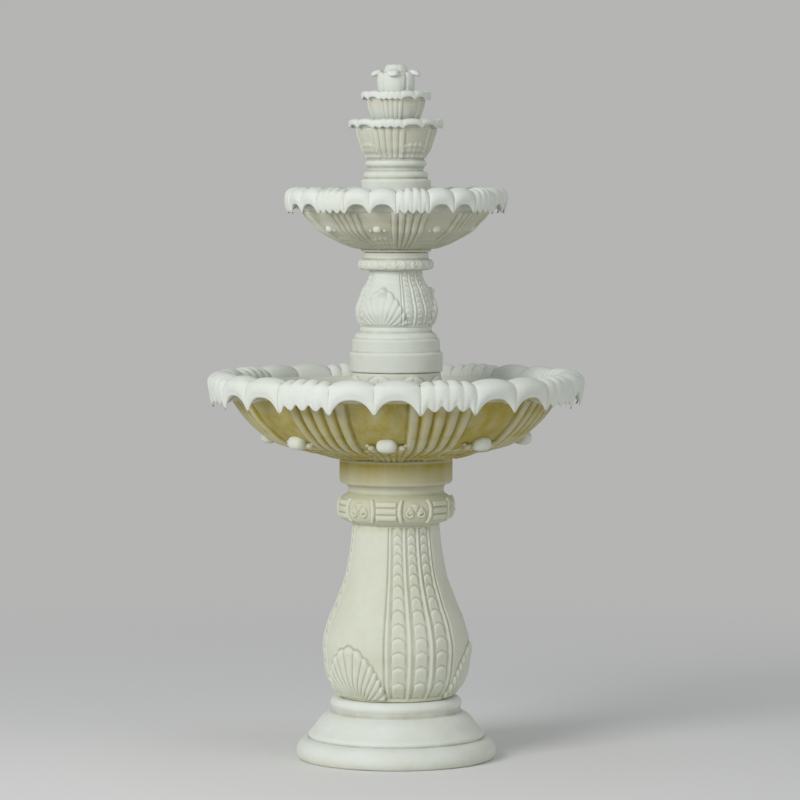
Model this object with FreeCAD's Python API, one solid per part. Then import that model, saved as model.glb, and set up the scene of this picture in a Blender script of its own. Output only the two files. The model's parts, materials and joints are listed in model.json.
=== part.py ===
import FreeCAD, Part
import math
import os

# Tiered garden fountain. Millimetres, +Z up, origin under the middle of the foot.
# The castings stack on flat seats with short locating spigots. The submersible pump stands
# in the lower bowl inside the pump riser and feeds the top through two straight tubes.
# Angles go round from the front (-Y), positive towards +X.

V = FreeCAD.Vector

# Clearances
SPIGOT_CLEARANCE = 1.0      # casting spigot in casting bore, radial
RUNNING_CLEARANCE = 0.05    # turning or sliding fit, radial
BODY_GAP = 0.3              # curved faces of pieces that lift apart
SEAL_CLEARANCE = 0.1        # ring seal in its groove

# Foot
FOOT_RADIUS = 212.3
FOOT_HEIGHT = 131.5
FOOT_WALL = 20.0
FOOT_ROLL_HEIGHT = 44.0
FOOT_BEAD_RADIUS = 187.5
FOOT_BEAD_TOP = 58.0
FOOT_TOP_BEAD_RADIUS = 140.0
FOOT_TOP_BEAD_BOTTOM = 112.5
FOOT_TOP_RADIUS = 131.0
FOOT_COVE_HEIGHT = 8.0            # upright cove under the top bead
FOOT_BORE_RADIUS = 108.0
CORD_NOTCH_WIDTH = 18.0
CORD_NOTCH_HEIGHT = 15.0

# Pedestal
PEDESTAL_HEIGHT = 509.5
PEDESTAL_BASE_RADIUS = 122.0
PEDESTAL_BELLY_RADIUS = 156.4
PEDESTAL_BELLY_HEIGHT = 105.0
PEDESTAL_NECK_RADIUS = 92.0
PEDESTAL_WALL = 19.0
PEDESTAL_HEAD_HEIGHT = 139.0     # band, recess and collar above the neck
BAND_RADIUS = 123.4
BAND_HEIGHT = 60.0
BAND_TOP_RADIUS = 101.5
COLLAR_RADIUS = 119.8
COLLAR_HEIGHT = 51.0
COLLAR_BORE_RADIUS = 99.0
COLLAR_FLOOR = 22.0              # depth of the collar's bore
SPIGOT_DEPTH = 14.0
SPIGOT_WALL = 14.0

# Lower bowl
LOWER_RIM_RADIUS = 400.0
LOWER_BOWL_HEIGHT = 183.0        # seat to crest
LOWER_WALL_RADIUS = 350.0        # outside of the wall under the rim
LOWER_WALL_TOP = 138.0
LOWER_SEAT_RADIUS = 119.0
LOWER_FLOOR = 32.0               # floor inside, above the seat
LOWER_FLOOR_RADIUS = 165.0
LOWER_WALL = 21.0
LOWER_KNOB_RADIUS = 17.0
LOWER_KNOB_RING = 272.0
LOWER_KNOB_HEIGHT = 40.0

# Drain hole and stopper
STOPPER_SHIFT = 0.5              # outwards from midway between the pump and the riser
STOPPER_HOLE_RADIUS = 14.0
STOPPER_FLANGE_RADIUS = 18.0
STOPPER_FLANGE = 5.0
STOPPER_LENGTH = 24.0
STOPPER_TAPER = 1.2
CORD_HOLE_RADIUS = 3.8

# Pump riser
RISER_RADIUS = 95.0
RISER_WALL = 14.0
RISER_HEIGHT = 149.0
INLET_WIDTH = 28.0
INLET_HEIGHT = 30.0
INLET_COUNT = 4

# Column
COLUMN_HEIGHT = 254.0
COLUMN_PLINTH_RADIUS = 99.0
COLUMN_PLINTH_HEIGHT = 41.0
COLUMN_DRUM_RADIUS = 93.0
COLUMN_DRUM_TOP = 70.0
COLUMN_STEP_RADIUS = 86.5
COLUMN_STEP_TOP = 82.0
COLUMN_VASE_BASE_RADIUS = 76.0
COLUMN_VASE_BOTTOM = 96.0
COLUMN_BELLY_RADIUS = 87.0
COLUMN_BELLY_HEIGHT = 128.0
COLUMN_NECK_RADIUS = 56.0
COLUMN_HEAD_HEIGHT = 38.0        # band and top cylinder above the neck
COLUMN_BAND_RADIUS = 77.9
COLUMN_BAND_HEIGHT = 21.0
COLUMN_TOP_RADIUS = 68.8
COLUMN_WALL = 13.0
COLUMN_TOP_BORE_RADIUS = 43.0

# Upper bowl
UPPER_RIM_RADIUS = 237.0
UPPER_BOWL_HEIGHT = 137.0
UPPER_WALL_RADIUS = 195.0
UPPER_WALL_TOP = 81.0
UPPER_SEAT_RADIUS = 74.0
UPPER_FLOOR = 29.0
UPPER_FLOOR_RADIUS = 96.0
UPPER_WALL = 16.0
UPPER_KNOB_RADIUS = 8.0
UPPER_KNOB_RING = 162.0
UPPER_KNOB_HEIGHT = 50.0

# Third bowl and its neck
THIRD_BASE_RADIUS = 84.0
THIRD_BASE_HEIGHT = 16.0
THIRD_NECK_RADIUS = 74.0
THIRD_NECK_HEIGHT = 122.0
THIRD_MOULDING_HEIGHT = 45.0     # mouldings between neck and bowl
THIRD_RING_RADIUS = 64.7
THIRD_BODY_RADIUS = 59.7
THIRD_WALL_RADIUS = 84.0
THIRD_BODY_HEIGHT = 63.0
THIRD_RIM_RADIUS = 100.7
THIRD_RIM_HEIGHT = 23.0
THIRD_WALL = 12.0
THIRD_BODY_FLOOR = 24.0          # floor inside, above the bottom of the bowl

# Fourth bowl
FOURTH_STEM_RADIUS = 40.0
FOURTH_STEM_HEIGHT = 46.0
FOURTH_BODY_RADIUS = 46.0
FOURTH_WALL_RADIUS = 58.6
FOURTH_BODY_HEIGHT = 52.0
FOURTH_RIM_RADIUS = 74.2
FOURTH_RIM_HEIGHT = 23.0
FOURTH_WALL = 9.0
FOURTH_BODY_FLOOR = 34.0

# Finial
FINIAL_STEM_RADIUS = 30.0
FINIAL_STEM_HEIGHT = 29.0
FINIAL_CUP_RADIUS = 38.5
FINIAL_CUP_HEIGHT = 32.0
FINIAL_PETAL_RADIUS = 52.5
FINIAL_PETAL_HEIGHT = 17.0
FINIAL_BUD_RADIUS = 24.8
FINIAL_BUD_TOP_RADIUS = 19.0
FINIAL_BUD_HEIGHT = 17.0
FINIAL_PETALS = 4
FINIAL_PETAL_GAP = 12.0

# Tubes and fittings
TUBE_RADIUS = 11.0
TUBE_BORE_RADIUS = 8.05
BARB_LENGTH = 28.0
BARB_BORE_RADIUS = 5.5
TUBE_STANDOFF = 4.0              # tube end to the shoulder that it is pushed towards
TUBE_HOLE_CLEARANCE = 2.5        # tube in the holes of the bowls
CLAMP_THICKNESS = 1.2
CLAMP_WIDTH = 9.0
FITTING_THREAD_RADIUS = 12.0
FITTING_FLANGE_RADIUS = 21.0
FITTING_FLANGE = 4.0
WASHER_THICKNESS = 2.0
NUT_ACROSS_FLATS = 36.0
NUT_THICKNESS = 8.0
NUT_RECESS = 8.0                 # underside of the upper bowl's floor, above its seat
NOZZLE_RADIUS = 8.7
NOZZLE_BORE_RADIUS = 5.0
NOZZLE_FLANGE = 3.0
NOZZLE_SHOULDER = 6.0            # nozzle's shoulder above the bottom of the finial's cup

# Pump
PUMP_WIDTH = 56.0
PUMP_HEIGHT = 66.0
PUMP_CORNER = 6.0
GLAND_ROOM = 7.0                 # end of the gland to the riser
VOLUTE_LENGTH = 22.0
INTAKE_LENGTH = 46.0
VOLUTE_FRONT_WALL = 4.0
CHAMBER_RADIUS = 20.0
ROTOR_WELL_RADIUS = 11.4
WELL_END_WALL = 6.0              # housing behind the bush at the blind end
MAGNET_RADIUS = 10.4
MAGNET_END_ROOM = 8.0            # magnet shorter than its well
HUB_RADIUS = 4.0
BLADE_RADIUS = 18.0
BLADE_COUNT = 6
BLADE_THICKNESS = 1.6
BLADE_WIDTH = 9.0
SHAFT_RADIUS = 2.0
BUSH_RADIUS = 5.0
BUSH_LENGTH = 4.0
END_PLAY = 0.5
EYE_RADIUS = 9.5
SPIDER_WIDTH = 2.2
SEAL_RADIUS = 23.0
SEAL_SECTION = 2.4
INTAKE_WALL = 2.2
INTAKE_SLOTS = 5
INTAKE_SLOT_WIDTH = 3.0
SPONGE_CLEARANCE = 0.4
DIAL_RADIUS = 13.0
DIAL_THICKNESS = 3.0
DIAL_PIN_RADIUS = 3.0
DIAL_HEAD_RADIUS = 5.0
DIAL_HEAD = 2.0
DIAL_GRIP = 3.0
CUP_RADIUS = 9.0
CUP_HEIGHT = 10.0
CUP_STEM_RADIUS = 3.0
CUP_STEM = 4.0
GLAND_RADIUS = 6.5
GLAND_LENGTH = 9.0
GLAND_RISE = 14.0                # gland above the rotor axis

# Drip edges of the rims: each group is one fluted petal of small arches and two plain petals.
# Widths are in degrees; a turn is the first fluted petal's angle from the front.
LARGE_RIM = {"groups": 8, "fluted": 17.5, "flutes": 4, "plain": 13.75}
SMALL_RIM = {"groups": 4, "fluted": 40.0, "flutes": 4, "plain": 25.0}
LOWER_RIM_TURN = 16.0
UPPER_RIM_TURN = 8.7
SMALL_RIM_TURN = -11.0

# Levels of the stack
PEDESTAL_Z = FOOT_HEIGHT
LOWER_BOWL_Z = PEDESTAL_Z + PEDESTAL_HEIGHT
LOWER_FLOOR_Z = LOWER_BOWL_Z + LOWER_FLOOR
COLUMN_Z = LOWER_FLOOR_Z + RISER_HEIGHT
UPPER_BOWL_Z = COLUMN_Z + COLUMN_HEIGHT
UPPER_FLOOR_Z = UPPER_BOWL_Z + UPPER_FLOOR
THIRD_BODY_Z = UPPER_FLOOR_Z + THIRD_NECK_HEIGHT + THIRD_MOULDING_HEIGHT
THIRD_FLOOR_Z = THIRD_BODY_Z + THIRD_BODY_FLOOR
FOURTH_BODY_Z = THIRD_FLOOR_Z + FOURTH_STEM_HEIGHT
FOURTH_FLOOR_Z = FOURTH_BODY_Z + FOURTH_BODY_FLOOR
FINIAL_CUP_Z = FOURTH_FLOOR_Z + FINIAL_STEM_HEIGHT
FINIAL_TOP_Z = FINIAL_CUP_Z + FINIAL_CUP_HEIGHT + FINIAL_PETAL_HEIGHT + FINIAL_BUD_HEIGHT
STOPPER_OFFSET = (PUMP_WIDTH / 2 + RISER_RADIUS - RISER_WALL) / 2 + STOPPER_SHIFT
PUMP_Z = LOWER_FLOOR_Z + CUP_HEIGHT
ROTOR_Z = PUMP_Z + PUMP_HEIGHT / 2
OUTLET_Z = PUMP_Z + PUMP_HEIGHT
TUBE_HOLE_RADIUS = TUBE_RADIUS + TUBE_HOLE_CLEARANCE
BARB_RADIUS = TUBE_BORE_RADIUS - RUNNING_CLEARANCE
NOZZLE_SHOULDER_Z = FINIAL_CUP_Z + NOZZLE_SHOULDER
NUT_TOP_Z = UPPER_BOWL_Z + NUT_RECESS
FITTING_BOTTOM_Z = NUT_TOP_Z - NUT_THICKNESS - 2
FITTING_TOP_Z = UPPER_FLOOR_Z + WASHER_THICKNESS + FITTING_FLANGE
LOWER_TUBE_BOTTOM_Z = OUTLET_Z + TUBE_STANDOFF
LOWER_TUBE_TOP_Z = FITTING_BOTTOM_Z - TUBE_STANDOFF
UPPER_TUBE_BOTTOM_Z = FITTING_TOP_Z + TUBE_STANDOFF
UPPER_TUBE_TOP_Z = NOZZLE_SHOULDER_Z - TUBE_STANDOFF
SPIGOT_RADIUS = FOOT_BORE_RADIUS - SPIGOT_CLEARANCE

# The volute's outlet stands on the fountain's axis, so the pump lies from -X to +X about it.
HOUSING_X = VOLUTE_LENGTH / 2
HOUSING_LENGTH = RISER_RADIUS - RISER_WALL - GLAND_ROOM - GLAND_LENGTH - HOUSING_X
ROTOR_WELL_LENGTH = HOUSING_LENGTH - BUSH_LENGTH - WELL_END_WALL
MAGNET_LENGTH = ROTOR_WELL_LENGTH - MAGNET_END_ROOM
VOLUTE_X = HOUSING_X - VOLUTE_LENGTH
INTAKE_X = VOLUTE_X - INTAKE_LENGTH
CHAMBER_X = VOLUTE_X + VOLUTE_FRONT_WALL
WELL_END_X = HOUSING_X + ROTOR_WELL_LENGTH


# --- shape helpers ---------------------------------------------------------------------------

def spun(start, *steps):
    """Solid of revolution about Z. Points are (radius, height). A step is a point for a straight
    line, ("arc", middle, end) for an arc, or ("curve", point, ...) for a smooth curve."""
    at = lambda p: V(p[0], 0, p[1])
    edges, here = [], start
    for step in steps + (start,):
        if step[0] == "arc":
            edges.append(Part.Arc(at(here), at(step[1]), at(step[2])).toShape())
            here = step[2]
        elif step[0] == "curve":
            curve = Part.BSplineCurve()
            curve.interpolate([at(p) for p in (here,) + step[1:]])
            edges.append(curve.toShape())
            here = step[-1]
        else:
            edges.append(Part.LineSegment(at(here), at(step)).toShape())
            here = step
    return Part.Face(Part.Wire(edges)).revolve(V(0, 0, 0), V(0, 0, 1), 360)


def tube(outer, inner, bottom, top):
    return upright(outer, bottom, top).cut(upright(inner, bottom - 1, top + 1))


def upright(radius, bottom, top, x=0, y=0):
    return Part.makeCylinder(radius, top - bottom, V(x, y, bottom))


def lying(radius, x_from, x_to, y=0, z=ROTOR_Z):
    return Part.makeCylinder(radius, x_to - x_from, V(x_from, y, z), V(1, 0, 0))


def block(x_from, x_to, y_from, y_to, z_from, z_to):
    return Part.makeBox(x_to - x_from, y_to - y_from, z_to - z_from, V(x_from, y_from, z_from))


def pump_block(x_from, x_to, inset=0.0):
    """Pump-sized block along X with rounded long edges, `inset` inside the pump's outline."""
    half = PUMP_WIDTH / 2 - inset
    body = block(x_from, x_to, -half, half, PUMP_Z + inset, OUTLET_Z - inset)
    long_edges = [e for e in body.Edges if abs(e.tangentAt(0).x) > 0.9]
    return body.makeFillet(PUMP_CORNER - inset, long_edges)


def between(start, end, shares):
    """Points whose radius and height are the given shares of the way from start to end."""
    return [(start[0] + (end[0] - start[0]) * r, start[1] + (end[1] - start[1]) * z)
            for r, z in shares]


def round_the_axis(angle):
    """Outward and sideways directions at an angle from the front."""
    a = math.radians(angle)
    return V(math.sin(a), -math.cos(a), 0), V(math.cos(a), math.sin(a), 0)


def drip_arch(angle, width, rim_radius, inside, top, tip):
    """Cutter that leaves one arch of the rim's drip edge, `width` degrees wide."""
    out, side = round_the_axis(angle)
    half = rim_radius * math.sin(math.radians(width / 2))
    low = tip - 60
    at = lambda x, z: out * inside + side * x + V(0, 0, z)
    edges = [Part.Arc(at(-half, tip), at(0, top), at(half, tip)).toShape()]
    corners = [at(half, tip), at(half, low), at(-half, low), at(-half, tip)]
    edges += [Part.LineSegment(a, b).toShape() for a, b in zip(corners, corners[1:])]
    return Part.Face(Part.Wire(edges)).extrude(out * (rim_radius * 1.05 - inside))


def drip_arches(rim, turn, rim_radius, inside, crest, plain, flute):
    """Cutters for a whole rim. plain and flute are (top, tip) depths below the crest."""
    cutters = []
    pitch = 360 / rim["groups"]
    flute_width = rim["fluted"] / rim["flutes"]
    for group in range(rim["groups"]):
        middle = turn + group * pitch
        places = [(middle - rim["fluted"] / 2 + (n + 0.5) * flute_width, flute_width, flute)
                  for n in range(rim["flutes"])]
        places += [(middle + rim["fluted"] / 2 + (n + 0.5) * rim["plain"], rim["plain"], plain)
                   for n in range(2)]
        cutters += [drip_arch(angle, width, rim_radius, inside, crest - depth[0], crest - depth[1])
                    for angle, width, depth in places]
    return cutters


def knobs(rim, turn, ring, height, radius):
    """Round knobs under the middle of each pair of plain petals."""
    pitch = 360 / rim["groups"]
    return [Part.makeSphere(radius, round_the_axis(turn + (n + 0.5) * pitch)[0] * ring
                            + V(0, 0, height)) for n in range(rim["groups"])]


# --- castings ---------------------------------------------------------------------------------

def base_foot():
    r, h, wall = FOOT_RADIUS, FOOT_HEIGHT, FOOT_WALL
    bead, top = FOOT_BEAD_RADIUS, FOOT_TOP_BEAD_RADIUS
    roll, bead_top, top_bead = FOOT_ROLL_HEIGHT, FOOT_BEAD_TOP, FOOT_TOP_BEAD_BOTTOM
    cove = top_bead - FOOT_COVE_HEIGHT
    foot = spun(
        (r - wall, 0), (r - 5, 0),
        ("arc", (r - 0.6, roll * 0.5), (bead - 1, roll)), (bead - 3, roll + 1),
        ("arc", (bead, (roll + bead_top) / 2), (bead - 4.5, bead_top)),
        ("curve", (bead - 17, bead_top + 15), (bead - 25, bead_top + 27), (top + 12, cove - 10),
         (top - 2.5, cove)),
        (top - 2.5, top_bead), ("arc", (top, top_bead + 7), (FOOT_TOP_RADIUS, h)),
        (FOOT_BORE_RADIUS, h), (FOOT_BORE_RADIUS, cove - wall),
        (bead - wall * 1.5, bead_top - wall * 0.5), (r - wall, roll - wall),
    )
    notch = block(-CORD_NOTCH_WIDTH / 2, CORD_NOTCH_WIDTH / 2, 0, r + 5, -1,
                  CORD_NOTCH_HEIGHT - CORD_NOTCH_WIDTH / 2)
    arch = Part.makeCylinder(CORD_NOTCH_WIDTH / 2, r + 5,
                             V(0, 0, CORD_NOTCH_HEIGHT - CORD_NOTCH_WIDTH / 2), V(0, 1, 0))
    return foot.cut([notch, arch])


def pedestal_vase():
    z, wall = PEDESTAL_Z, PEDESTAL_WALL
    top = z + PEDESTAL_HEIGHT
    neck_z = top - PEDESTAL_HEAD_HEIGHT
    base = (PEDESTAL_BASE_RADIUS, z)
    belly = (PEDESTAL_BELLY_RADIUS, z + PEDESTAL_BELLY_HEIGHT)
    neck = (PEDESTAL_NECK_RADIUS, neck_z)
    rise = [(0.26, 0.14), (0.64, 0.31), (0.85, 0.5)]
    fall = [(0.14, 0.185), (0.45, 0.377), (0.733, 0.566), (0.863, 0.709), (0.947, 0.857)]
    band_top = neck_z + BAND_HEIGHT + 4
    collar_z = top - COLLAR_HEIGHT
    inner = lambda point: (point[0] - wall, point[1])
    return spun(
        (SPIGOT_RADIUS - SPIGOT_WALL, z - SPIGOT_DEPTH), (SPIGOT_RADIUS, z - SPIGOT_DEPTH),
        (SPIGOT_RADIUS, z), base,
        ("curve", *between(base, belly, rise), belly, *between(belly, neck, fall), neck),
        (PEDESTAL_NECK_RADIUS + 7.5, neck_z + 4),
        ("arc", (BAND_RADIUS, neck_z + 4 + BAND_HEIGHT / 2), (BAND_TOP_RADIUS, band_top)),
        (BAND_TOP_RADIUS, collar_z - 8), (COLLAR_RADIUS, collar_z + 2), (COLLAR_RADIUS, top - 3),
        (COLLAR_RADIUS - 2, top), (COLLAR_BORE_RADIUS, top),
        (COLLAR_BORE_RADIUS, top - COLLAR_FLOOR), inner((PEDESTAL_NECK_RADIUS, collar_z)),
        inner(neck),
        ("curve", *[inner(p) for p in reversed(between(belly, neck, fall))], inner(belly)),
        (SPIGOT_RADIUS - SPIGOT_WALL, z + 20),
    )


def bowl(seat_z, shape, underside, rim_depth, *hollow):
    """Open bowl on its spigot: underside curve, overhanging rim and curved inside."""
    crest = seat_z + shape["height"]
    rim, wall_r, wall = shape["rim"], shape["wall_radius"], shape["wall"]
    seat = (shape["seat"], seat_z + 2)
    under = (wall_r, seat_z + shape["wall_top"])
    floor = (shape["floor_radius"], seat_z + shape["floor"])
    lip = rim - wall_r
    inside = (wall_r - wall * 0.75, crest - rim_depth * 0.3)
    return spun(
        *hollow, (shape["seat"], seat_z), seat,
        ("curve", *between(seat, under, underside), under),
        (rim - lip * 0.34, crest - rim_depth),
        (rim - lip * 0.14, crest - rim_depth),
        ("curve", (rim - lip * 0.02, crest - rim_depth * 0.64), (rim, crest - rim_depth * 0.36),
         (rim - lip * 0.2, crest - rim_depth * 0.08), (rim - lip * 0.66, crest),
         (rim - lip * 1.06, crest - rim_depth * 0.08), inside),
        ("curve", *between(inside, floor, [(0.17, 0.4), (0.42, 0.72), (0.72, 0.93)]), floor),
        (hollow[0][0], floor[1]),
    )


def lower_bowl():
    shape = {"height": LOWER_BOWL_HEIGHT, "rim": LOWER_RIM_RADIUS, "wall": LOWER_WALL,
             "wall_radius": LOWER_WALL_RADIUS, "wall_top": LOWER_WALL_TOP,
             "seat": LOWER_SEAT_RADIUS, "floor": LOWER_FLOOR, "floor_radius": LOWER_FLOOR_RADIUS}
    spigot = COLLAR_BORE_RADIUS - SPIGOT_CLEARANCE
    z = LOWER_BOWL_Z
    crest = z + LOWER_BOWL_HEIGHT
    disc = bowl(z, shape, [(0.126, 0.051), (0.307, 0.14), (0.485, 0.206), (0.619, 0.301),
                           (0.732, 0.456), (0.84, 0.625), (0.926, 0.824)], 72.0,
                (0, z), (spigot - SPIGOT_WALL, z), (spigot - SPIGOT_WALL, z - SPIGOT_DEPTH),
                (spigot, z - SPIGOT_DEPTH), (spigot, z))
    arches = drip_arches(LARGE_RIM, LOWER_RIM_TURN, LOWER_RIM_RADIUS, LOWER_WALL_RADIUS + 7,
                         crest, (40.0, 71.0), (49.0, 63.0))
    drain = upright(STOPPER_HOLE_RADIUS, z - 1, z + LOWER_FLOOR + 1, y=STOPPER_OFFSET)
    lumps = knobs(LARGE_RIM, LOWER_RIM_TURN, LOWER_KNOB_RING, z + LOWER_KNOB_HEIGHT,
                  LOWER_KNOB_RADIUS)
    return disc.fuse(lumps).cut(arches + [drain])


def pump_riser():
    ring = tube(RISER_RADIUS, RISER_RADIUS - RISER_WALL, LOWER_FLOOR_Z, COLUMN_Z)
    half = INLET_WIDTH / 2
    spring = LOWER_FLOOR_Z + INLET_HEIGHT - half
    reach = RISER_RADIUS + 5
    cutters = []
    for n in range(INLET_COUNT):
        out, side = round_the_axis(n * 360 / INLET_COUNT)
        arch = Part.makeCylinder(half, reach, V(0, 0, spring), out)
        slot = Part.makeBox(INLET_WIDTH, reach, spring - LOWER_FLOOR_Z + 1,
                            V(-half, 0, LOWER_FLOOR_Z - 1))
        slot.rotate(V(0, 0, 0), V(0, 0, 1), 180 + n * 360 / INLET_COUNT)
        cutters += [arch, slot]
    return ring.cut(cutters)


def column():
    z, wall = COLUMN_Z, COLUMN_WALL
    top = z + COLUMN_HEIGHT
    neck_z = top - COLUMN_HEAD_HEIGHT
    band_z = top - COLUMN_HEAD_HEIGHT + 1
    start = (COLUMN_VASE_BASE_RADIUS, z + COLUMN_VASE_BOTTOM)
    belly = (COLUMN_BELLY_RADIUS, z + COLUMN_BELLY_HEIGHT)
    neck = (COLUMN_NECK_RADIUS, neck_z)
    rise = [(0.5, 0.36), (0.86, 0.7)]
    fall = [(0.177, 0.24), (0.387, 0.432), (0.58, 0.58), (0.79, 0.66), (0.94, 0.79)]
    bore = COLUMN_TOP_BORE_RADIUS
    room = RISER_RADIUS - RISER_WALL
    return spun(
        (room, z), (COLUMN_PLINTH_RADIUS, z), (COLUMN_PLINTH_RADIUS, z + COLUMN_PLINTH_HEIGHT),
        (COLUMN_DRUM_RADIUS, z + COLUMN_PLINTH_HEIGHT + 5), (COLUMN_DRUM_RADIUS, z + COLUMN_DRUM_TOP),
        (COLUMN_STEP_RADIUS, z + COLUMN_DRUM_TOP + 3),
        ("arc", (COLUMN_STEP_RADIUS - 1, z + COLUMN_DRUM_TOP + 8),
         (COLUMN_VASE_BASE_RADIUS + 2, z + COLUMN_STEP_TOP)),
        (COLUMN_VASE_BASE_RADIUS, z + COLUMN_STEP_TOP + 2), start,
        ("curve", *between(start, belly, rise), belly, *between(belly, neck, fall), neck),
        (COLUMN_BAND_RADIUS - 3, band_z),
        ("arc", (COLUMN_BAND_RADIUS, band_z + COLUMN_BAND_HEIGHT / 2),
         (COLUMN_BAND_RADIUS - 3, band_z + COLUMN_BAND_HEIGHT)),
        (COLUMN_TOP_RADIUS, band_z + COLUMN_BAND_HEIGHT), (COLUMN_TOP_RADIUS, top),
        (bore, top), (bore, neck_z - 6), (COLUMN_BELLY_RADIUS - wall * 2, belly[1]),
        (COLUMN_VASE_BASE_RADIUS - wall, z + COLUMN_DRUM_TOP), (room, z + COLUMN_PLINTH_HEIGHT - 6),
    )


def upper_bowl():
    shape = {"height": UPPER_BOWL_HEIGHT, "rim": UPPER_RIM_RADIUS, "wall": UPPER_WALL,
             "wall_radius": UPPER_WALL_RADIUS, "wall_top": UPPER_WALL_TOP,
             "seat": UPPER_SEAT_RADIUS, "floor": UPPER_FLOOR, "floor_radius": UPPER_FLOOR_RADIUS}
    spigot = COLUMN_TOP_BORE_RADIUS - SPIGOT_CLEARANCE
    z = UPPER_BOWL_Z
    crest = z + UPPER_BOWL_HEIGHT
    hole = FITTING_THREAD_RADIUS + BODY_GAP
    disc = bowl(z, shape, [(0.185, 0.095), (0.345, 0.203), (0.487, 0.324), (0.714, 0.554),
                           (0.84, 0.784)], 56.0,
                (hole, NUT_TOP_Z), (spigot - SPIGOT_WALL, NUT_TOP_Z),
                (spigot - SPIGOT_WALL, z - SPIGOT_DEPTH), (spigot, z - SPIGOT_DEPTH), (spigot, z))
    arches = drip_arches(LARGE_RIM, UPPER_RIM_TURN, UPPER_RIM_RADIUS, UPPER_WALL_RADIUS + 5,
                         crest, (35.0, 55.5), (45.0, 55.0))
    lumps = knobs(LARGE_RIM, UPPER_RIM_TURN, UPPER_KNOB_RING, z + UPPER_KNOB_HEIGHT,
                  UPPER_KNOB_RADIUS)
    return disc.fuse(lumps).cut(arches)


def small_rim(wall_r, rim, crest, depth, inside_r):
    """Rim profile of the two small bowls, from under the lip to the inside of the wall."""
    lip = rim - wall_r
    return [(rim - lip * 0.35, crest - depth), (rim - lip * 0.1, crest - depth),
            ("curve", (rim, crest - depth * 0.62), (rim - lip * 0.5, crest - depth * 0.05),
             (wall_r - 2, crest), (inside_r, crest - depth * 0.3))]


def third_bowl():
    z, body_z = UPPER_FLOOR_Z, THIRD_BODY_Z
    neck_top = z + THIRD_NECK_HEIGHT
    wall_top = body_z + THIRD_BODY_HEIGHT
    crest = wall_top + THIRD_RIM_HEIGHT - 2
    floor = THIRD_FLOOR_Z
    inside = THIRD_WALL_RADIUS - THIRD_WALL
    hollow = THIRD_NECK_RADIUS - THIRD_WALL
    body = spun(
        (hollow, z), (THIRD_BASE_RADIUS, z), (THIRD_BASE_RADIUS, z + THIRD_BASE_HEIGHT),
        (THIRD_NECK_RADIUS, z + THIRD_BASE_HEIGHT + 8), (THIRD_NECK_RADIUS, neck_top),
        (THIRD_NECK_RADIUS - 9, neck_top + 4),
        ("arc", (THIRD_NECK_RADIUS - 5.5, neck_top + 10), (THIRD_NECK_RADIUS - 9, neck_top + 16)),
        (THIRD_RING_RADIUS - 7, neck_top + 21), (THIRD_RING_RADIUS - 5, neck_top + 27),
        ("arc", (THIRD_RING_RADIUS, neck_top + 34), (THIRD_RING_RADIUS - 5, neck_top + 41)),
        (THIRD_BODY_RADIUS - 1, body_z),
        ("curve", *between((THIRD_BODY_RADIUS - 1, body_z), (THIRD_WALL_RADIUS, wall_top),
                           [(0.46, 0.28), (0.74, 0.58)]), (THIRD_WALL_RADIUS, wall_top)),
        *small_rim(THIRD_WALL_RADIUS, THIRD_RIM_RADIUS, crest, THIRD_RIM_HEIGHT, inside),
        ("curve", *between((inside, crest - THIRD_RIM_HEIGHT * 0.3), (TUBE_HOLE_RADIUS + 26, floor),
                           [(0.12, 0.5), (0.45, 0.88)]), (TUBE_HOLE_RADIUS + 26, floor)),
        (TUBE_HOLE_RADIUS, floor), (TUBE_HOLE_RADIUS, floor - THIRD_WALL),
        (THIRD_RING_RADIUS - THIRD_WALL * 2, floor - THIRD_WALL),
        (THIRD_RING_RADIUS - THIRD_WALL * 2, neck_top + 12), (hollow, neck_top - 14),
    )
    return body.cut(drip_arches(SMALL_RIM, SMALL_RIM_TURN, THIRD_RIM_RADIUS, THIRD_WALL_RADIUS + 2,
                                crest, (15.0, THIRD_RIM_HEIGHT), (18.0, THIRD_RIM_HEIGHT)))


def fourth_bowl():
    z, body_z = THIRD_FLOOR_Z, FOURTH_BODY_Z
    wall_top = body_z + FOURTH_BODY_HEIGHT
    crest = wall_top + FOURTH_RIM_HEIGHT - 2
    floor = FOURTH_FLOOR_Z
    inside = FOURTH_WALL_RADIUS - FOURTH_WALL
    hollow = FOURTH_STEM_RADIUS - FOURTH_WALL
    body = spun(
        (hollow, z), (FOURTH_STEM_RADIUS, z), (FOURTH_STEM_RADIUS, body_z - 6),
        (FOURTH_BODY_RADIUS, body_z + 12),
        ("curve", *between((FOURTH_BODY_RADIUS, body_z + 12), (FOURTH_WALL_RADIUS, wall_top),
                           [(0.5, 0.3), (0.85, 0.65)]), (FOURTH_WALL_RADIUS, wall_top)),
        *small_rim(FOURTH_WALL_RADIUS, FOURTH_RIM_RADIUS, crest, FOURTH_RIM_HEIGHT, inside),
        (inside, floor + 8), (inside - 8, floor),
        (TUBE_HOLE_RADIUS, floor), (TUBE_HOLE_RADIUS, floor - FOURTH_WALL),
        (hollow, floor - FOURTH_WALL - 10),
    )
    return body.cut(drip_arches(SMALL_RIM, SMALL_RIM_TURN, FOURTH_RIM_RADIUS,
                                FOURTH_WALL_RADIUS + 2, crest, (16.0, FOURTH_RIM_HEIGHT),
                                (18.5, FOURTH_RIM_HEIGHT)))


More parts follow.
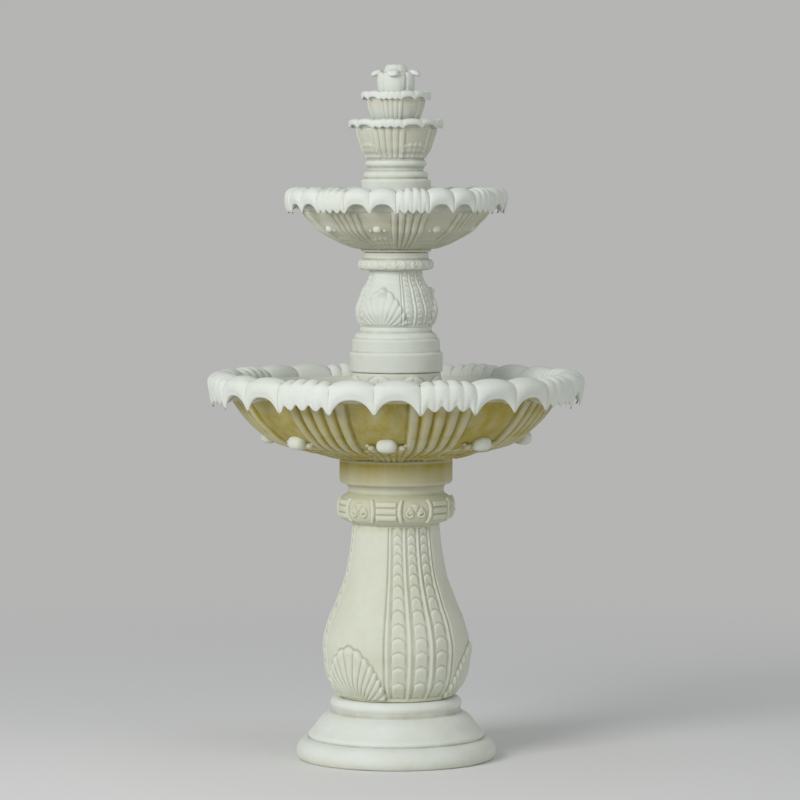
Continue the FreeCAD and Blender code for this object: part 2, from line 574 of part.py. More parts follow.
def finial():
    z, cup = FOURTH_FLOOR_Z, FINIAL_CUP_Z
    petal = cup + FINIAL_CUP_HEIGHT
    petal_top = petal + FINIAL_PETAL_HEIGHT
    out, bud = FINIAL_PETAL_RADIUS, FINIAL_BUD_RADIUS
    hollow = TUBE_HOLE_RADIUS + 2
    nozzle = NOZZLE_RADIUS + BODY_GAP / 2
    body = spun(
        (hollow, z), (FINIAL_STEM_RADIUS, z), (FINIAL_STEM_RADIUS, cup - 4),
        ("curve", (FINIAL_CUP_RADIUS - 2, cup + 6), (FINIAL_CUP_RADIUS, petal - 8),
         (FINIAL_CUP_RADIUS + 4, petal - 1)),
        ("curve", (out - 2, petal + 1), (out, petal + 8), (out - 6, petal_top - 1),
         (out - 14, petal_top), (bud + 3, petal_top - 4)),
        (bud, petal_top - 3),
        ("curve", (bud - 1, petal_top + 4), (FINIAL_BUD_TOP_RADIUS, FINIAL_TOP_Z - 4),
         (FINIAL_BUD_TOP_RADIUS - 4, FINIAL_TOP_Z)),
        (nozzle, FINIAL_TOP_Z), (nozzle, NOZZLE_SHOULDER_Z + NOZZLE_FLANGE),
        (hollow, NOZZLE_SHOULDER_Z + NOZZLE_FLANGE),
    )
    gaps = []
    for n in range(FINIAL_PETALS):
        gap = Part.makeBox(FINIAL_PETAL_GAP, out, FINIAL_PETAL_HEIGHT + 2,
                           V(-FINIAL_PETAL_GAP / 2, bud + 12, petal + 2))
        gap.rotate(V(0, 0, 0), V(0, 0, 1), (n + 0.5) * 360 / FINIAL_PETALS)
        gaps.append(gap)
    return body.cut(gaps)


# --- tubes and fittings -----------------------------------------------------------------------

def water_tube(bottom, top):
    return tube(TUBE_RADIUS, TUBE_BORE_RADIUS, bottom, top)


def tube_clamp(bottom):
    """Worm-drive band with its screw housing."""
    outer = TUBE_RADIUS + CLAMP_THICKNESS
    band = upright(outer, bottom, bottom + CLAMP_WIDTH)
    housing = block(-7, 7, outer - 1, outer + 5, bottom, bottom + CLAMP_WIDTH)
    screw = Part.makeCylinder(3.2, 5, V(7, outer + 2, bottom + CLAMP_WIDTH / 2), V(1, 0, 0))
    bore = upright(TUBE_RADIUS, bottom - 1, bottom + CLAMP_WIDTH + 1)
    return band.fuse([housing, screw]).cut(bore)


def bulkhead_fitting():
    outer = spun(
        (BARB_BORE_RADIUS, FITTING_BOTTOM_Z - BARB_LENGTH), (BARB_RADIUS, FITTING_BOTTOM_Z - BARB_LENGTH),
        (BARB_RADIUS, FITTING_BOTTOM_Z), (FITTING_THREAD_RADIUS, FITTING_BOTTOM_Z),
        (FITTING_THREAD_RADIUS, FITTING_TOP_Z - FITTING_FLANGE),
        (FITTING_FLANGE_RADIUS, FITTING_TOP_Z - FITTING_FLANGE), (FITTING_FLANGE_RADIUS, FITTING_TOP_Z),
        (BARB_RADIUS, FITTING_TOP_Z), (BARB_RADIUS, FITTING_TOP_Z + BARB_LENGTH),
        (BARB_BORE_RADIUS, FITTING_TOP_Z + BARB_LENGTH),
    )
    return outer


def bulkhead_washer():
    return tube(FITTING_FLANGE_RADIUS, FITTING_THREAD_RADIUS, UPPER_FLOOR_Z,
                UPPER_FLOOR_Z + WASHER_THICKNESS)


def bulkhead_nut():
    top = NUT_TOP_Z
    corner = NUT_ACROSS_FLATS / 2 / math.cos(math.pi / 6)
    hexagon = [V(corner * math.cos(n * math.pi / 3), corner * math.sin(n * math.pi / 3),
                 top - NUT_THICKNESS) for n in range(7)]
    body = Part.Face(Part.makePolygon(hexagon)).extrude(V(0, 0, NUT_THICKNESS))
    return body.cut(upright(FITTING_THREAD_RADIUS, top - NUT_THICKNESS - 1, top + 1))


def spout_nozzle():
    top = FINIAL_TOP_Z - 2
    z = NOZZLE_SHOULDER_Z
    return spun(
        (NOZZLE_BORE_RADIUS, z - BARB_LENGTH), (BARB_RADIUS, z - BARB_LENGTH), (BARB_RADIUS, z),
        (TUBE_HOLE_RADIUS, z), (TUBE_HOLE_RADIUS, z + NOZZLE_FLANGE),
        (NOZZLE_RADIUS, z + NOZZLE_FLANGE), (NOZZLE_RADIUS, top), (NOZZLE_BORE_RADIUS, top),
    )


def bowl_stopper():
    """Tapered rubber stopper with the cord's hole, in the drain hole of the lower bowl."""
    z = LOWER_FLOOR_Z
    big = STOPPER_HOLE_RADIUS - BODY_GAP
    plug = spun(
        (CORD_HOLE_RADIUS, z - STOPPER_LENGTH), (big - STOPPER_TAPER, z - STOPPER_LENGTH), (big, z),
        (STOPPER_FLANGE_RADIUS, z), (STOPPER_FLANGE_RADIUS, z + STOPPER_FLANGE),
        (CORD_HOLE_RADIUS, z + STOPPER_FLANGE),
    )
    plug.translate(V(0, STOPPER_OFFSET, 0))
    return plug


# --- pump -------------------------------------------------------------------------------------

def cup_places():
    inset = CUP_RADIUS + 1
    return [(x, y) for x in (HOUSING_X + inset, HOUSING_X + HOUSING_LENGTH - inset)
            for y in (-PUMP_WIDTH / 2 + inset, PUMP_WIDTH / 2 - inset)]


def seal_ring(clearance):
    inner, outer = SEAL_RADIUS - SEAL_SECTION / 2, SEAL_RADIUS + SEAL_SECTION / 2
    depth = SEAL_SECTION
    return lying(outer + clearance, HOUSING_X, HOUSING_X + depth).cut(
        lying(inner - clearance, HOUSING_X - 1, HOUSING_X + depth + 1))


def pump_housing():
    body = pump_block(HOUSING_X, HOUSING_X + HOUSING_LENGTH)
    stems = [upright(CUP_STEM_RADIUS, PUMP_Z - 1, PUMP_Z + CUP_STEM, x, y) for x, y in cup_places()]
    well = lying(ROTOR_WELL_RADIUS, HOUSING_X - 1, WELL_END_X)
    bush = lying(BUSH_RADIUS, WELL_END_X - 1, WELL_END_X + BUSH_LENGTH)
    cord = lying(CORD_HOLE_RADIUS, HOUSING_X + HOUSING_LENGTH - 6, HOUSING_X + HOUSING_LENGTH + 1,
                 z=ROTOR_Z + GLAND_RISE)
    return body.cut([well, bush, cord, seal_ring(SEAL_CLEARANCE)] + stems)


def cable_gland():
    x = HOUSING_X + HOUSING_LENGTH
    z = ROTOR_Z + GLAND_RISE
    body = lying(GLAND_RADIUS, x, x + GLAND_LENGTH * 0.45, z=z).fuse(
        lying(GLAND_RADIUS - 1.5, x + GLAND_LENGTH * 0.45, x + GLAND_LENGTH, z=z))
    return body.cut(lying(CORD_HOLE_RADIUS, x - 1, x + GLAND_LENGTH + 1, z=z))


def volute_cover():
    body = pump_block(VOLUTE_X, HOUSING_X)
    nipple = upright(BARB_RADIUS, OUTLET_Z - 2, OUTLET_Z + BARB_LENGTH + TUBE_STANDOFF)
    chamber = lying(CHAMBER_RADIUS, CHAMBER_X, HOUSING_X + 1)
    outlet = upright(BARB_BORE_RADIUS, ROTOR_Z, OUTLET_Z + BARB_LENGTH + TUBE_STANDOFF + 1)
    eye = lying(EYE_RADIUS, VOLUTE_X - 1, CHAMBER_X + 1)
    shell = body.fuse(nipple).cut([chamber, outlet, eye])
    spider = [lying(BUSH_RADIUS + 1.5, VOLUTE_X, CHAMBER_X)]
    for n in range(3):
        arm = block(VOLUTE_X, CHAMBER_X, -SPIDER_WIDTH / 2, SPIDER_WIDTH / 2,
                    ROTOR_Z, ROTOR_Z + EYE_RADIUS + 1)
        arm.rotate(V(0, 0, ROTOR_Z), V(1, 0, 0), n * 120)
        spider.append(arm)
    return shell.fuse(spider).cut(lying(BUSH_RADIUS, VOLUTE_X - 1, CHAMBER_X + 1))


def shaft_bushes():
    """Rubber bushes that hold the two ends of the still shaft."""
    places = [(VOLUTE_X, CHAMBER_X), (WELL_END_X, WELL_END_X + BUSH_LENGTH)]
    return Part.makeCompound([lying(BUSH_RADIUS, a, b).cut(lying(SHAFT_RADIUS, a - 1, b + 1))
                              for a, b in places])


def impeller_shaft():
    return lying(SHAFT_RADIUS, VOLUTE_X, WELL_END_X + BUSH_LENGTH)


def impeller():
    """Straight-bladed impeller on the tube that carries the magnet."""
    start = CHAMBER_X + END_PLAY
    disc_x = start + BLADE_WIDTH
    end = WELL_END_X - END_PLAY
    parts = [lying(HUB_RADIUS, disc_x, end), lying(BLADE_RADIUS, disc_x, disc_x + 2)]
    for n in range(BLADE_COUNT):
        blade = block(start, disc_x, -BLADE_THICKNESS / 2, BLADE_THICKNESS / 2, ROTOR_Z,
                      ROTOR_Z + BLADE_RADIUS)
        blade.rotate(V(0, 0, ROTOR_Z), V(1, 0, 0), n * 360 / BLADE_COUNT)
        parts.append(blade)
    whole = lying(HUB_RADIUS, start, disc_x).fuse(parts)
    return whole.cut(lying(SHAFT_RADIUS + RUNNING_CLEARANCE, start - 1, end + 1))


def impeller_magnet():
    end = WELL_END_X - END_PLAY - 2
    return lying(MAGNET_RADIUS, end - MAGNET_LENGTH, end).cut(
        lying(HUB_RADIUS, end - MAGNET_LENGTH - 1, end + 1))


def cover_seal():
    return seal_ring(0.0)


def intake_cover():
    """Slotted strainer cap in front of the volute."""
    inside = pump_block(INTAKE_X + INTAKE_WALL, VOLUTE_X + 1, INTAKE_WALL)
    shell = pump_block(INTAKE_X, VOLUTE_X).cut(inside)
    cutters = [lying(DIAL_PIN_RADIUS + RUNNING_CLEARANCE, INTAKE_X - 1, INTAKE_X + INTAKE_WALL + 1)]
    pitch = (INTAKE_LENGTH - 14) / (INTAKE_SLOTS - 1)
    for n in range(INTAKE_SLOTS):
        x = INTAKE_X + 7 + n * pitch
        cutters.append(block(x - INTAKE_SLOT_WIDTH / 2, x + INTAKE_SLOT_WIDTH / 2, -PUMP_WIDTH,
                             PUMP_WIDTH, PUMP_Z + 12, OUTLET_Z - 12))
    return shell.cut(cutters)


def filter_sponge():
    """Open-cell block that fills the strainer cap behind the dial's pin."""
    front = INTAKE_X + INTAKE_WALL + DIAL_HEAD + 1
    return pump_block(front, VOLUTE_X - SPONGE_CLEARANCE, INTAKE_WALL + SPONGE_CLEARANCE)


def flow_dial():
    """Regulator dial on the front of the strainer cap, held by the head of its pin."""
    face = INTAKE_X - BODY_GAP
    outer = face - DIAL_THICKNESS
    back = INTAKE_X + INTAKE_WALL + BODY_GAP
    reach = DIAL_RADIUS - 2
    grip = block(outer - DIAL_GRIP, outer, -1.5, 1.5, ROTOR_Z - reach, ROTOR_Z + reach)
    pin = lying(DIAL_PIN_RADIUS, face - 1, back + 1)
    head = lying(DIAL_HEAD_RADIUS, back, back + DIAL_HEAD)
    return lying(DIAL_RADIUS, outer, face).fuse([grip, pin, head])


def suction_cups():
    cups = []
    for x, y in cup_places():
        cup = spun(
            (0, PUMP_Z - CUP_HEIGHT * 0.55), ("arc", (CUP_RADIUS * 0.5, PUMP_Z - CUP_HEIGHT * 0.7),
                                          (CUP_RADIUS - 1, LOWER_FLOOR_Z)),
            (CUP_RADIUS, LOWER_FLOOR_Z), (CUP_RADIUS, LOWER_FLOOR_Z + 1),
            ("arc", (CUP_RADIUS * 0.7, PUMP_Z - CUP_HEIGHT * 0.45), (CUP_STEM_RADIUS + 1, PUMP_Z)),
            (CUP_STEM_RADIUS, PUMP_Z), (CUP_STEM_RADIUS, PUMP_Z + CUP_STEM), (0, PUMP_Z + CUP_STEM),
        )
        cup.translate(V(x, y, 0))
        cups.append(cup)
    return Part.makeCompound(cups)


PIECES = {
    "base_foot": base_foot,
    "pedestal_vase": pedestal_vase,
    "lower_bowl": lower_bowl,
    "pump_riser": pump_riser,
    "column": column,
    "upper_bowl": upper_bowl,
    "third_bowl": third_bowl,
    "fourth_bowl": fourth_bowl,
    "finial": finial,
    "spout_nozzle": spout_nozzle,
    "upper_tube": lambda: water_tube(UPPER_TUBE_BOTTOM_Z, UPPER_TUBE_TOP_Z),
    "upper_tube_clamp": lambda: tube_clamp(UPPER_TUBE_BOTTOM_Z + 8),
    "bulkhead_fitting": bulkhead_fitting,
    "bulkhead_washer": bulkhead_washer,
    "bulkhead_nut": bulkhead_nut,
    "lower_tube": lambda: water_tube(LOWER_TUBE_BOTTOM_Z, LOWER_TUBE_TOP_Z),
    "lower_tube_clamp": lambda: tube_clamp(LOWER_TUBE_BOTTOM_Z + 8),
    "bowl_stopper": bowl_stopper,
    "pump_housing": pump_housing,
    "cable_gland": cable_gland,
    "volute_cover": volute_cover,
    "cover_seal": cover_seal,
    "impeller": impeller,
    "impeller_magnet": impeller_magnet,
    "impeller_shaft": impeller_shaft,
    "shaft_bushes": shaft_bushes,
    "intake_cover": intake_cover,
    "filter_sponge": filter_sponge,
    "flow_dial": flow_dial,
    "suction_cups": suction_cups,
}

os.makedirs("parts", exist_ok=True)
for name, make in PIECES.items():
    shape = make()
    if not shape.isValid():
        raise ValueError(name + " is not a valid solid")
    shape.exportStep("parts/" + name + ".step")
    box = shape.BoundBox
    print(f"{name:18s} solids {len(shape.Solids)}  volume {shape.Volume / 1000:9.2f} cm3  "
          f"z {box.ZMin:8.2f} to {box.ZMax:8.2f}  x {box.XMin:8.2f} to {box.XMax:8.2f}")
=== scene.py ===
"""Tiered garden fountain in cast stone: carved castings, rims with drip edges, pump fittings, stage."""

import json
import math

import bpy
import numpy as np
from bpy.props import FloatProperty, FloatVectorProperty, IntProperty, PointerProperty
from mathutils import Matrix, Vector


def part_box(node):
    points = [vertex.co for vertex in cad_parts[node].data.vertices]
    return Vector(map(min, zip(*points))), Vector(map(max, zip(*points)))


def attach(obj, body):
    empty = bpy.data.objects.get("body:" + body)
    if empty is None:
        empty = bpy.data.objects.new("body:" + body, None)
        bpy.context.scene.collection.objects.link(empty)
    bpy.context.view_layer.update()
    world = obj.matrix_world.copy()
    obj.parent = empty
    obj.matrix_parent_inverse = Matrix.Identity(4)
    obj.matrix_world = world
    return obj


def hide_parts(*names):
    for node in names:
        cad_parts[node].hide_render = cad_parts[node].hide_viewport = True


bl_info = {
    "name": "Tiered garden fountain",
    "version": (1, 0, 0),
    "blender": (4, 5, 0),
    "location": "View3D > Sidebar > Fountain",
    "description": "Builds a carved cast stone fountain round its packed frame",
    "category": "Add Mesh",
}

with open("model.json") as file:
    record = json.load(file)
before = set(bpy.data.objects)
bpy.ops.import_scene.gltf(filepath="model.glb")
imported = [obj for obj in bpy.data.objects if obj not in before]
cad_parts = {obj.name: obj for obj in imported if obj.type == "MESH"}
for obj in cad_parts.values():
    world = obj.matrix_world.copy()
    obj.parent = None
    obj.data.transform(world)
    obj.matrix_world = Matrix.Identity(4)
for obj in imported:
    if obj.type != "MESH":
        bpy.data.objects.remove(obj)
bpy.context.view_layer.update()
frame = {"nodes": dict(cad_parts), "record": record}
MM = 0.001
SPIGOT_DEPTH = 14            # a casting's seat stands this far above its spigot's end, in millimetres

# Repeat of the rims: eight groups on the two large bowls, four on the two small ones. A group is
# one fluted petal of four flutes and two plain petals. Widths in degrees.
LARGE_RIM = {"groups": 8, "fluted": 17.5, "flutes": 4, "plain": 13.75}
SMALL_RIM = {"groups": 4, "fluted": 40.0, "flutes": 4, "plain": 25.0}
LOWER_TURN = 16.0
UPPER_TURN = 8.7
LOWER_KNOB_LEAD = 2.4        # knobs ahead of the middle of their pair of petals
SMALL_TURN = -11.0

# Repeat of the carved vases: three husk bands with three leaf panels between them.
VASE_REPEAT = 120.0
PEDESTAL_BAND_ANGLE = 20.5
COLUMN_BAND_ANGLE = 38.5
HEAD_HEIGHT = 139            # band, recess and collar above the pedestal's neck, in millimetres
RIB_SPACING = 18.5           # degrees between the four ribs of a band
FINIAL_TURN = -9.0           # first petal of the finial, degrees from the front


def level(node):
    """Underside and top of a frame node, in millimetres."""
    low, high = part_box(node)
    return low.z / MM, high.z / MM


# --- outlines -----------------------------------------------------------------------------------

def line(*points, step=2.5):
    """Points about `step` apart along straight runs through the given (radius, height) points."""
    runs = []
    for a, b in zip(points, points[1:]):
        count = max(2, round(math.dist(a, b) / step))
        share = np.arange(count)[:, None] / count
        runs.append(np.array(a) * (1 - share) + np.array(b) * share)
    return np.vstack(runs)


def through(points, count):
    """Smooth curve through rows of points: cubic Hermite pieces whose slopes are those of the
    parabola through each point and its neighbours, over the mean chord length."""
    points = np.asarray(points, float)
    flat = points.reshape(len(points), -1)
    chord = np.sqrt((np.diff(flat, axis=0) ** 2).mean(axis=1) * 2)
    knots = np.concatenate([[0.0], np.cumsum(np.maximum(chord, 1e-6))])
    slopes = np.gradient(points, knots, axis=0)
    at = np.linspace(0, knots[-1], count, endpoint=False)
    piece = np.clip(np.searchsorted(knots, at, side="right") - 1, 0, len(knots) - 2)
    width = knots[piece + 1] - knots[piece]
    shape = (-1,) + (1,) * (points.ndim - 1)
    t = ((at - knots[piece]) / width).reshape(shape)
    width = width.reshape(shape)
    return ((2 * t ** 3 - 3 * t ** 2 + 1) * points[piece] + (t ** 3 - 2 * t ** 2 + t) * width * slopes[piece]
            + (3 * t ** 2 - 2 * t ** 3) * points[piece + 1] + (t ** 3 - t ** 2) * width * slopes[piece + 1])


def curve(*points, step=2.0):
    """Smooth curve through (radius, height) points, about `step` apart."""
    length = sum(math.dist(a, b) for a, b in zip(points, points[1:]))
    return through(points, max(3, round(length / step)))


def roll(start, middle, end, step=1.6):
    """Circular arc through three (radius, height) points."""
    a, b, c = (complex(*p) for p in (start, middle, end))
    w = (c - a) / (b - a)
    centre = (b - a) * (w - abs(w) ** 2) / (2j * w.imag) + a
    first, last = a - centre, c - centre
    turn = math.atan2((last / first).imag, (last / first).real)
    way = math.atan2(((b - centre) / first).imag, ((b - centre) / first).real)
    if turn * way < 0:
        turn -= math.copysign(2 * math.pi, turn)
    count = max(4, round(abs(turn) * abs(first) / step))
    spots = centre + first * np.exp(1j * turn * np.arange(count) / count)
    return np.column_stack([spots.real, spots.imag])


def outline(outside, inside, soften=2):
    """Closed outline from outside runs going up and inside runs coming down. Every point moves to
    a quarter of each neighbour and half of itself, `soften` times, which rounds the arrises."""
    points = np.vstack(list(outside) + list(inside))
    carved = np.zeros(len(points))
    carved[:sum(len(run) for run in outside)] = 1.0
    for _ in range(soften):
        points = points / 2 + (np.roll(points, 1, 0) + np.roll(points, -1, 0)) / 4
    return points[:, 0], points[:, 1], carved


# --- surfaces -----------------------------------------------------------------------------------

def blurred(grid, passes):
    """Mean of each grid point and its neighbours both ways round, taken `passes` times."""
    for _ in range(passes):
        grid = grid / 2 + (np.roll(grid, 1, 0) + np.roll(grid, -1, 0)) / 4
        grid = grid / 2 + (np.roll(grid, 1, 1) + np.roll(grid, -1, 1)) / 4
    return grid


def mesh_object(name, points, faces, values=None):
    """Smooth-shaded mesh object from point and quad arrays, with named values per point."""
    mesh = bpy.data.meshes.new(name)
    mesh.vertices.add(len(points))
    mesh.vertices.foreach_set("co", np.ascontiguousarray(points, np.float32).ravel())
    mesh.loops.add(faces.size)
    mesh.loops.foreach_set("vertex_index", np.ascontiguousarray(faces, np.int32).ravel())
    mesh.polygons.add(len(faces))
    mesh.polygons.foreach_set("loop_start", np.arange(0, faces.size, faces.shape[1], dtype=np.int32))
    mesh.update(calc_edges=True)
    mesh.polygons.foreach_set("use_smooth", np.ones(len(faces), bool))
    for key, value in (values or {}).items():
        layer = mesh.attributes.new(key, "FLOAT", "POINT")
        layer.data.foreach_set("value", np.ascontiguousarray(value, np.float32).ravel())
    mesh.validate()
    thing = bpy.data.objects.new(name, mesh)
    bpy.context.scene.collection.objects.link(thing)
    return thing


def ring_faces(rows, columns):
    """Quads of a grid that closes on itself both ways."""
    i, j = np.meshgrid(np.arange(rows), np.arange(columns), indexing="ij")
    up, along = (i + 1) % rows, (j + 1) % columns
    return np.stack([i * columns + j, i * columns + along, up * columns + along, up * columns + j],
                    axis=-1).reshape(-1, 4)


def ring_surface(name, radius, height, angles, stain_and_shade=None):
    """Closed ring through a grid: point (i, j) lies at `radius[i, j]` from the axis, `angles[j]`
    round from the front, at `height[i, j]`. Its hollow value is how far the surface lies under
    the mean of its surroundings along its normal, in millimetres: creases are positive."""
    radius, height = np.broadcast_arrays(radius, height)
    spots = np.stack([radius * np.sin(angles), -radius * np.cos(angles), height], axis=-1)
    along = np.roll(spots, -1, 1) - np.roll(spots, 1, 1)
    up = np.roll(spots, -1, 0) - np.roll(spots, 1, 0)
    normal = np.cross(along, up)
    normal /= np.maximum(np.linalg.norm(normal, axis=-1, keepdims=True), 1e-9)
    hollow = ((blurred(spots, 3) - spots) * normal).sum(-1)
    broad = ((blurred(spots, 14) - spots) * normal).sum(-1)
    values = {"hollow": np.clip(hollow * 1.2 + broad * 0.35, -1, 1),
              "stain_and_shade": np.zeros_like(hollow) if stain_and_shade is None else np.clip(stain_and_shade, 0, 1)}
    return mesh_object(name, spots.reshape(-1, 3) * MM, ring_faces(*hollow.shape), values)


def carved_ring(name, shape, angles, relief=None, stain_and_shade=None, lift=None):
    """Outline turned round the axis, with its outside moved out along the outline's normal by
    relief(angle, height, radius). `lift` maps (angle, height) to a new height, for notches."""
    r, z, carved = shape
    slope_r, slope_z = np.roll(r, -1) - np.roll(r, 1), np.roll(z, -1) - np.roll(z, 1)
    length = np.maximum(np.hypot(slope_r, slope_z), 1e-9)
    r, z, carved = r[:, None], z[:, None], carved[:, None]
    depth = hand_finish(angles, z, r)
    if relief is not None:
        depth = depth + relief(angles[None, :], z, r)
    depth = depth * carved
    radius = r + (slope_z / length)[:, None] * depth
    height = z - (slope_r / length)[:, None] * depth
    if lift is not None:
        height = lift(angles[None, :], height)
    tint = None if stain_and_shade is None else stain_and_shade(angles[None, :], height, radius) * (0.25 + 0.75 * carved)
    return ring_surface(name, radius, height, angles, tint)


def hand_finish(angle, z, r):
    """Slight unevenness of a hand-finished casting: a few long waves of a quarter millimetre."""
    return 0.14 * (np.sin(5 * angle + z / 31) + np.sin(9 * angle - z / 17 + 1)
                   + np.sin(14 * angle + z / 11 + r / 23))


def full_turn(count):
    return np.linspace(0, 2 * np.pi, count, endpoint=False)


def turn_with_dense(count, centres, half_width, extra):
    """Full turn of angles with more of them within half_width (radians) of each centre."""
    spots = [full_turn(count)] + [c + np.linspace(-half_width, half_width, extra) for c in centres]
    angles = np.unique(np.round(np.concatenate(spots) % (2 * np.pi), 5))
    keep = np.concatenate([[True], np.diff(angles) > 2e-4])
    return angles[keep]


def cap_poles(spots):
    """Points and quads of a grid whose first and last rows are poles."""
    rows, columns = spots.shape[:2]
    points = np.vstack([spots[0, :1], spots[1:-1].reshape(-1, 3), spots[-1, :1]])
    index = np.concatenate([np.zeros((1, columns), int),
                            1 + np.arange((rows - 2) * columns).reshape(rows - 2, columns),
                            np.full((1, columns), len(points) - 1)])
    after = np.roll(index, -1, 1)
    quads = np.stack([index[:-1], after[:-1], after[1:], index[1:]], axis=-1)
    return points, quads


def solid_from_grids(name, grids, stain_and_shade_values):
    """One object from several pole-capped grids, each with its level of stain and painted shade."""
    points, quads, triangles, shades, start = [], [], [], [], 0
    for spots, stain_and_shade in zip(grids, stain_and_shade_values):
        some, faces = cap_poles(spots)
        triangles.append(np.concatenate([faces[0][:, [0, 2, 3]], faces[-1][:, [0, 1, 2]]]) + start)
        quads.append(faces[1:-1].reshape(-1, 4) + start)
        points.append(some)
        shades.append(np.full(len(some), stain_and_shade, np.float32))
        start += len(some)
    points, quads, triangles = np.vstack(points), np.vstack(quads), np.vstack(triangles)
    mesh = bpy.data.meshes.new(name)
    mesh.from_pydata((points * MM).tolist(), [], quads.tolist() + triangles.tolist())
    mesh.polygons.foreach_set("use_smooth", np.ones(len(mesh.polygons), bool))
    layer = mesh.attributes.new("stain_and_shade", "FLOAT", "POINT")
    layer.data.foreach_set("value", np.concatenate(shades))
    thing = bpy.data.objects.new(name, mesh)
    bpy.context.scene.collection.objects.link(thing)
    return thing


def block_grid(place, sizes, angle, power=0.8, bend=0.0, rows=18, columns=26):
    """Grid of a rounded block: an ellipsoid whose sines and cosines are raised to `power`, with
    half sizes (sideways, outwards, up), centred at (radius, height) and turned to `angle`. It
    droops by `bend` times the square of the way out."""
    u = np.linspace(-np.pi / 2, np.pi / 2, rows)[:, None]
    v = np.linspace(0, 2 * np.pi, columns, endpoint=False)[None, :]
    swell = lambda s: np.sign(s) * np.abs(s) ** power
    side = sizes[0] * swell(np.cos(u)) * swell(np.cos(v))
    out = sizes[1] * swell(np.cos(u)) * swell(np.sin(v))
    up = sizes[2] * swell(np.sin(u)) - bend * (out + sizes[1]) ** 2 + place[1]
    out = out + place[0]
    x = out * math.sin(angle) + side * math.cos(angle)
    y = -out * math.cos(angle) + side * math.sin(angle)
    return np.stack([x, y, np.broadcast_to(up, x.shape)], axis=-1)


# --- ornament -----------------------------------------------------------------------------------

def step_up(low, high, x):
    """0 below low, 1 above high, and the smooth cubic between."""
    t = np.clip((x - low) / (high - low), 0, 1)
    return t * t * (3 - 2 * t)


def from_middle(angle, middle, repeat):
    """Degrees from the nearest middle of a pattern that repeats."""
    return (np.degrees(angle) - middle + repeat / 2) % repeat - repeat / 2


def rod(x, half):
    """Half-round rod of height 1: the root of 1 - (x / half) squared."""
    return np.sqrt(np.clip(1 - (x / half) ** 2, 0, 1))


def husks(across, half, z, top, pitch_top, pitch_bottom, length):
    """Column of overlapping rounded scales. Counting down from `top`, the scale number grows as
    the pitch widens; each scale's upper edge is an arch, proud at the edge and sinking to the next."""
    down = top - (z + 0.5 * half * (across / half) ** 2)
    grow = (pitch_bottom - pitch_top) / length
    number = np.log1p(np.clip(down, -pitch_top, None) * grow / pitch_top) / grow if grow else down / pitch_top
    part = number % 1.0
    edge = step_up(0.0, 0.2, part) * (1 - 0.7 * step_up(0.15, 1.0, part))
    return edge * (0.35 + 0.65 * rod(across, half * 1.02)) * (np.abs(across) < half)


def shell_leaf(across, z, foot_z, reach, narrowing, flute):
    """Leaf of radiating flutes. In polar terms about its foot, the edge lies at `reach` in the
    middle and falls by up to `narrowing` as the lean grows, by 1 - exp(-s / 29) where s is the
    lean rounded off near the middle. It is scalloped once per flute. Flutes are ridges of the
    cosine of the lean that sweep outwards, and the edge lifts into a beaded lip."""
    rise = np.maximum(z - foot_z, 0.01)
    far = np.hypot(across, rise)
    lean = np.degrees(np.arctan2(across, rise))
    curl = lean + np.sign(lean) * 14 * step_up(0.25, 1.0, far / reach) * step_up(12, 55, np.abs(lean))
    scallop = np.abs(np.cos(np.pi * curl / flute))
    fall = narrowing * (1 - np.exp(-(np.hypot(lean, 13.0) - 13.0) / 29))
    edge = reach - fall + reach * 0.04 * (scallop - 0.5)
    inside = step_up(-2.5, 1.5, edge - far)
    share = np.clip(far / edge, 0, 1)
    body = 0.3 + 0.5 * share ** 2
    ridges = (scallop ** 0.8 - 0.5) * step_up(0.1, 0.45, share) * 0.55
    beads = 0.35 * np.exp(-((share - 0.93) / 0.05) ** 2) * scallop
    return inside * (body + ridges + beads)


def curled_tip(across, z, tip_z, half):
    """Rounded knuckle where a leaf's tip curls out of the surface."""
    return np.exp(-(across / half) ** 2) * np.exp(-((z - tip_z) / (half * 0.8)) ** 2)


def vase_relief(depths, band_angle, radius_at, low, high, husk_pitches, leaf, tip=0.0):
    """Relief of a carved vase from its (rib, husk, leaf) depths. Three sunk bands carry four ribs
    18.5 degrees apart, flush with the plain panels, and husks between them; each panel between
    the bands has a shell leaf at its foot."""
    rib, husk, leaf_height = depths
    degree = np.pi / 180 * radius_at

    def relief(angle, z, r):
        band = from_middle(angle, band_angle, VASE_REPEAT)
        off = np.abs(band)
        ends = step_up(low, low + 5, z) * (1 - step_up(high - 4, high, z))
        ground = -rib * (1 - step_up(30.0, 31.8, off))
        beside = np.minimum(np.abs(off - RIB_SPACING * 0.5), np.abs(off - RIB_SPACING * 1.5))
        ribs = rib * np.exp(-(beside / 1.5) ** 2)
        column = from_middle(np.radians(band), 0.0, RIB_SPACING)
        scales = husk * husks(column * degree, 5.0 * degree, z, high, *husk_pitches, high - low)
        scales = scales * (off < RIB_SPACING * 1.5)
        panel = from_middle(angle, band_angle + VASE_REPEAT / 2, VASE_REPEAT) * degree
        leaves = leaf_height * shell_leaf(panel, z, *leaf)
        if tip:
            leaves = leaves + tip * curled_tip(panel, z, leaf[0] + leaf[1] - 6, 8.0)
        return (ground + ribs + scales + leaves) * ends

    return relief


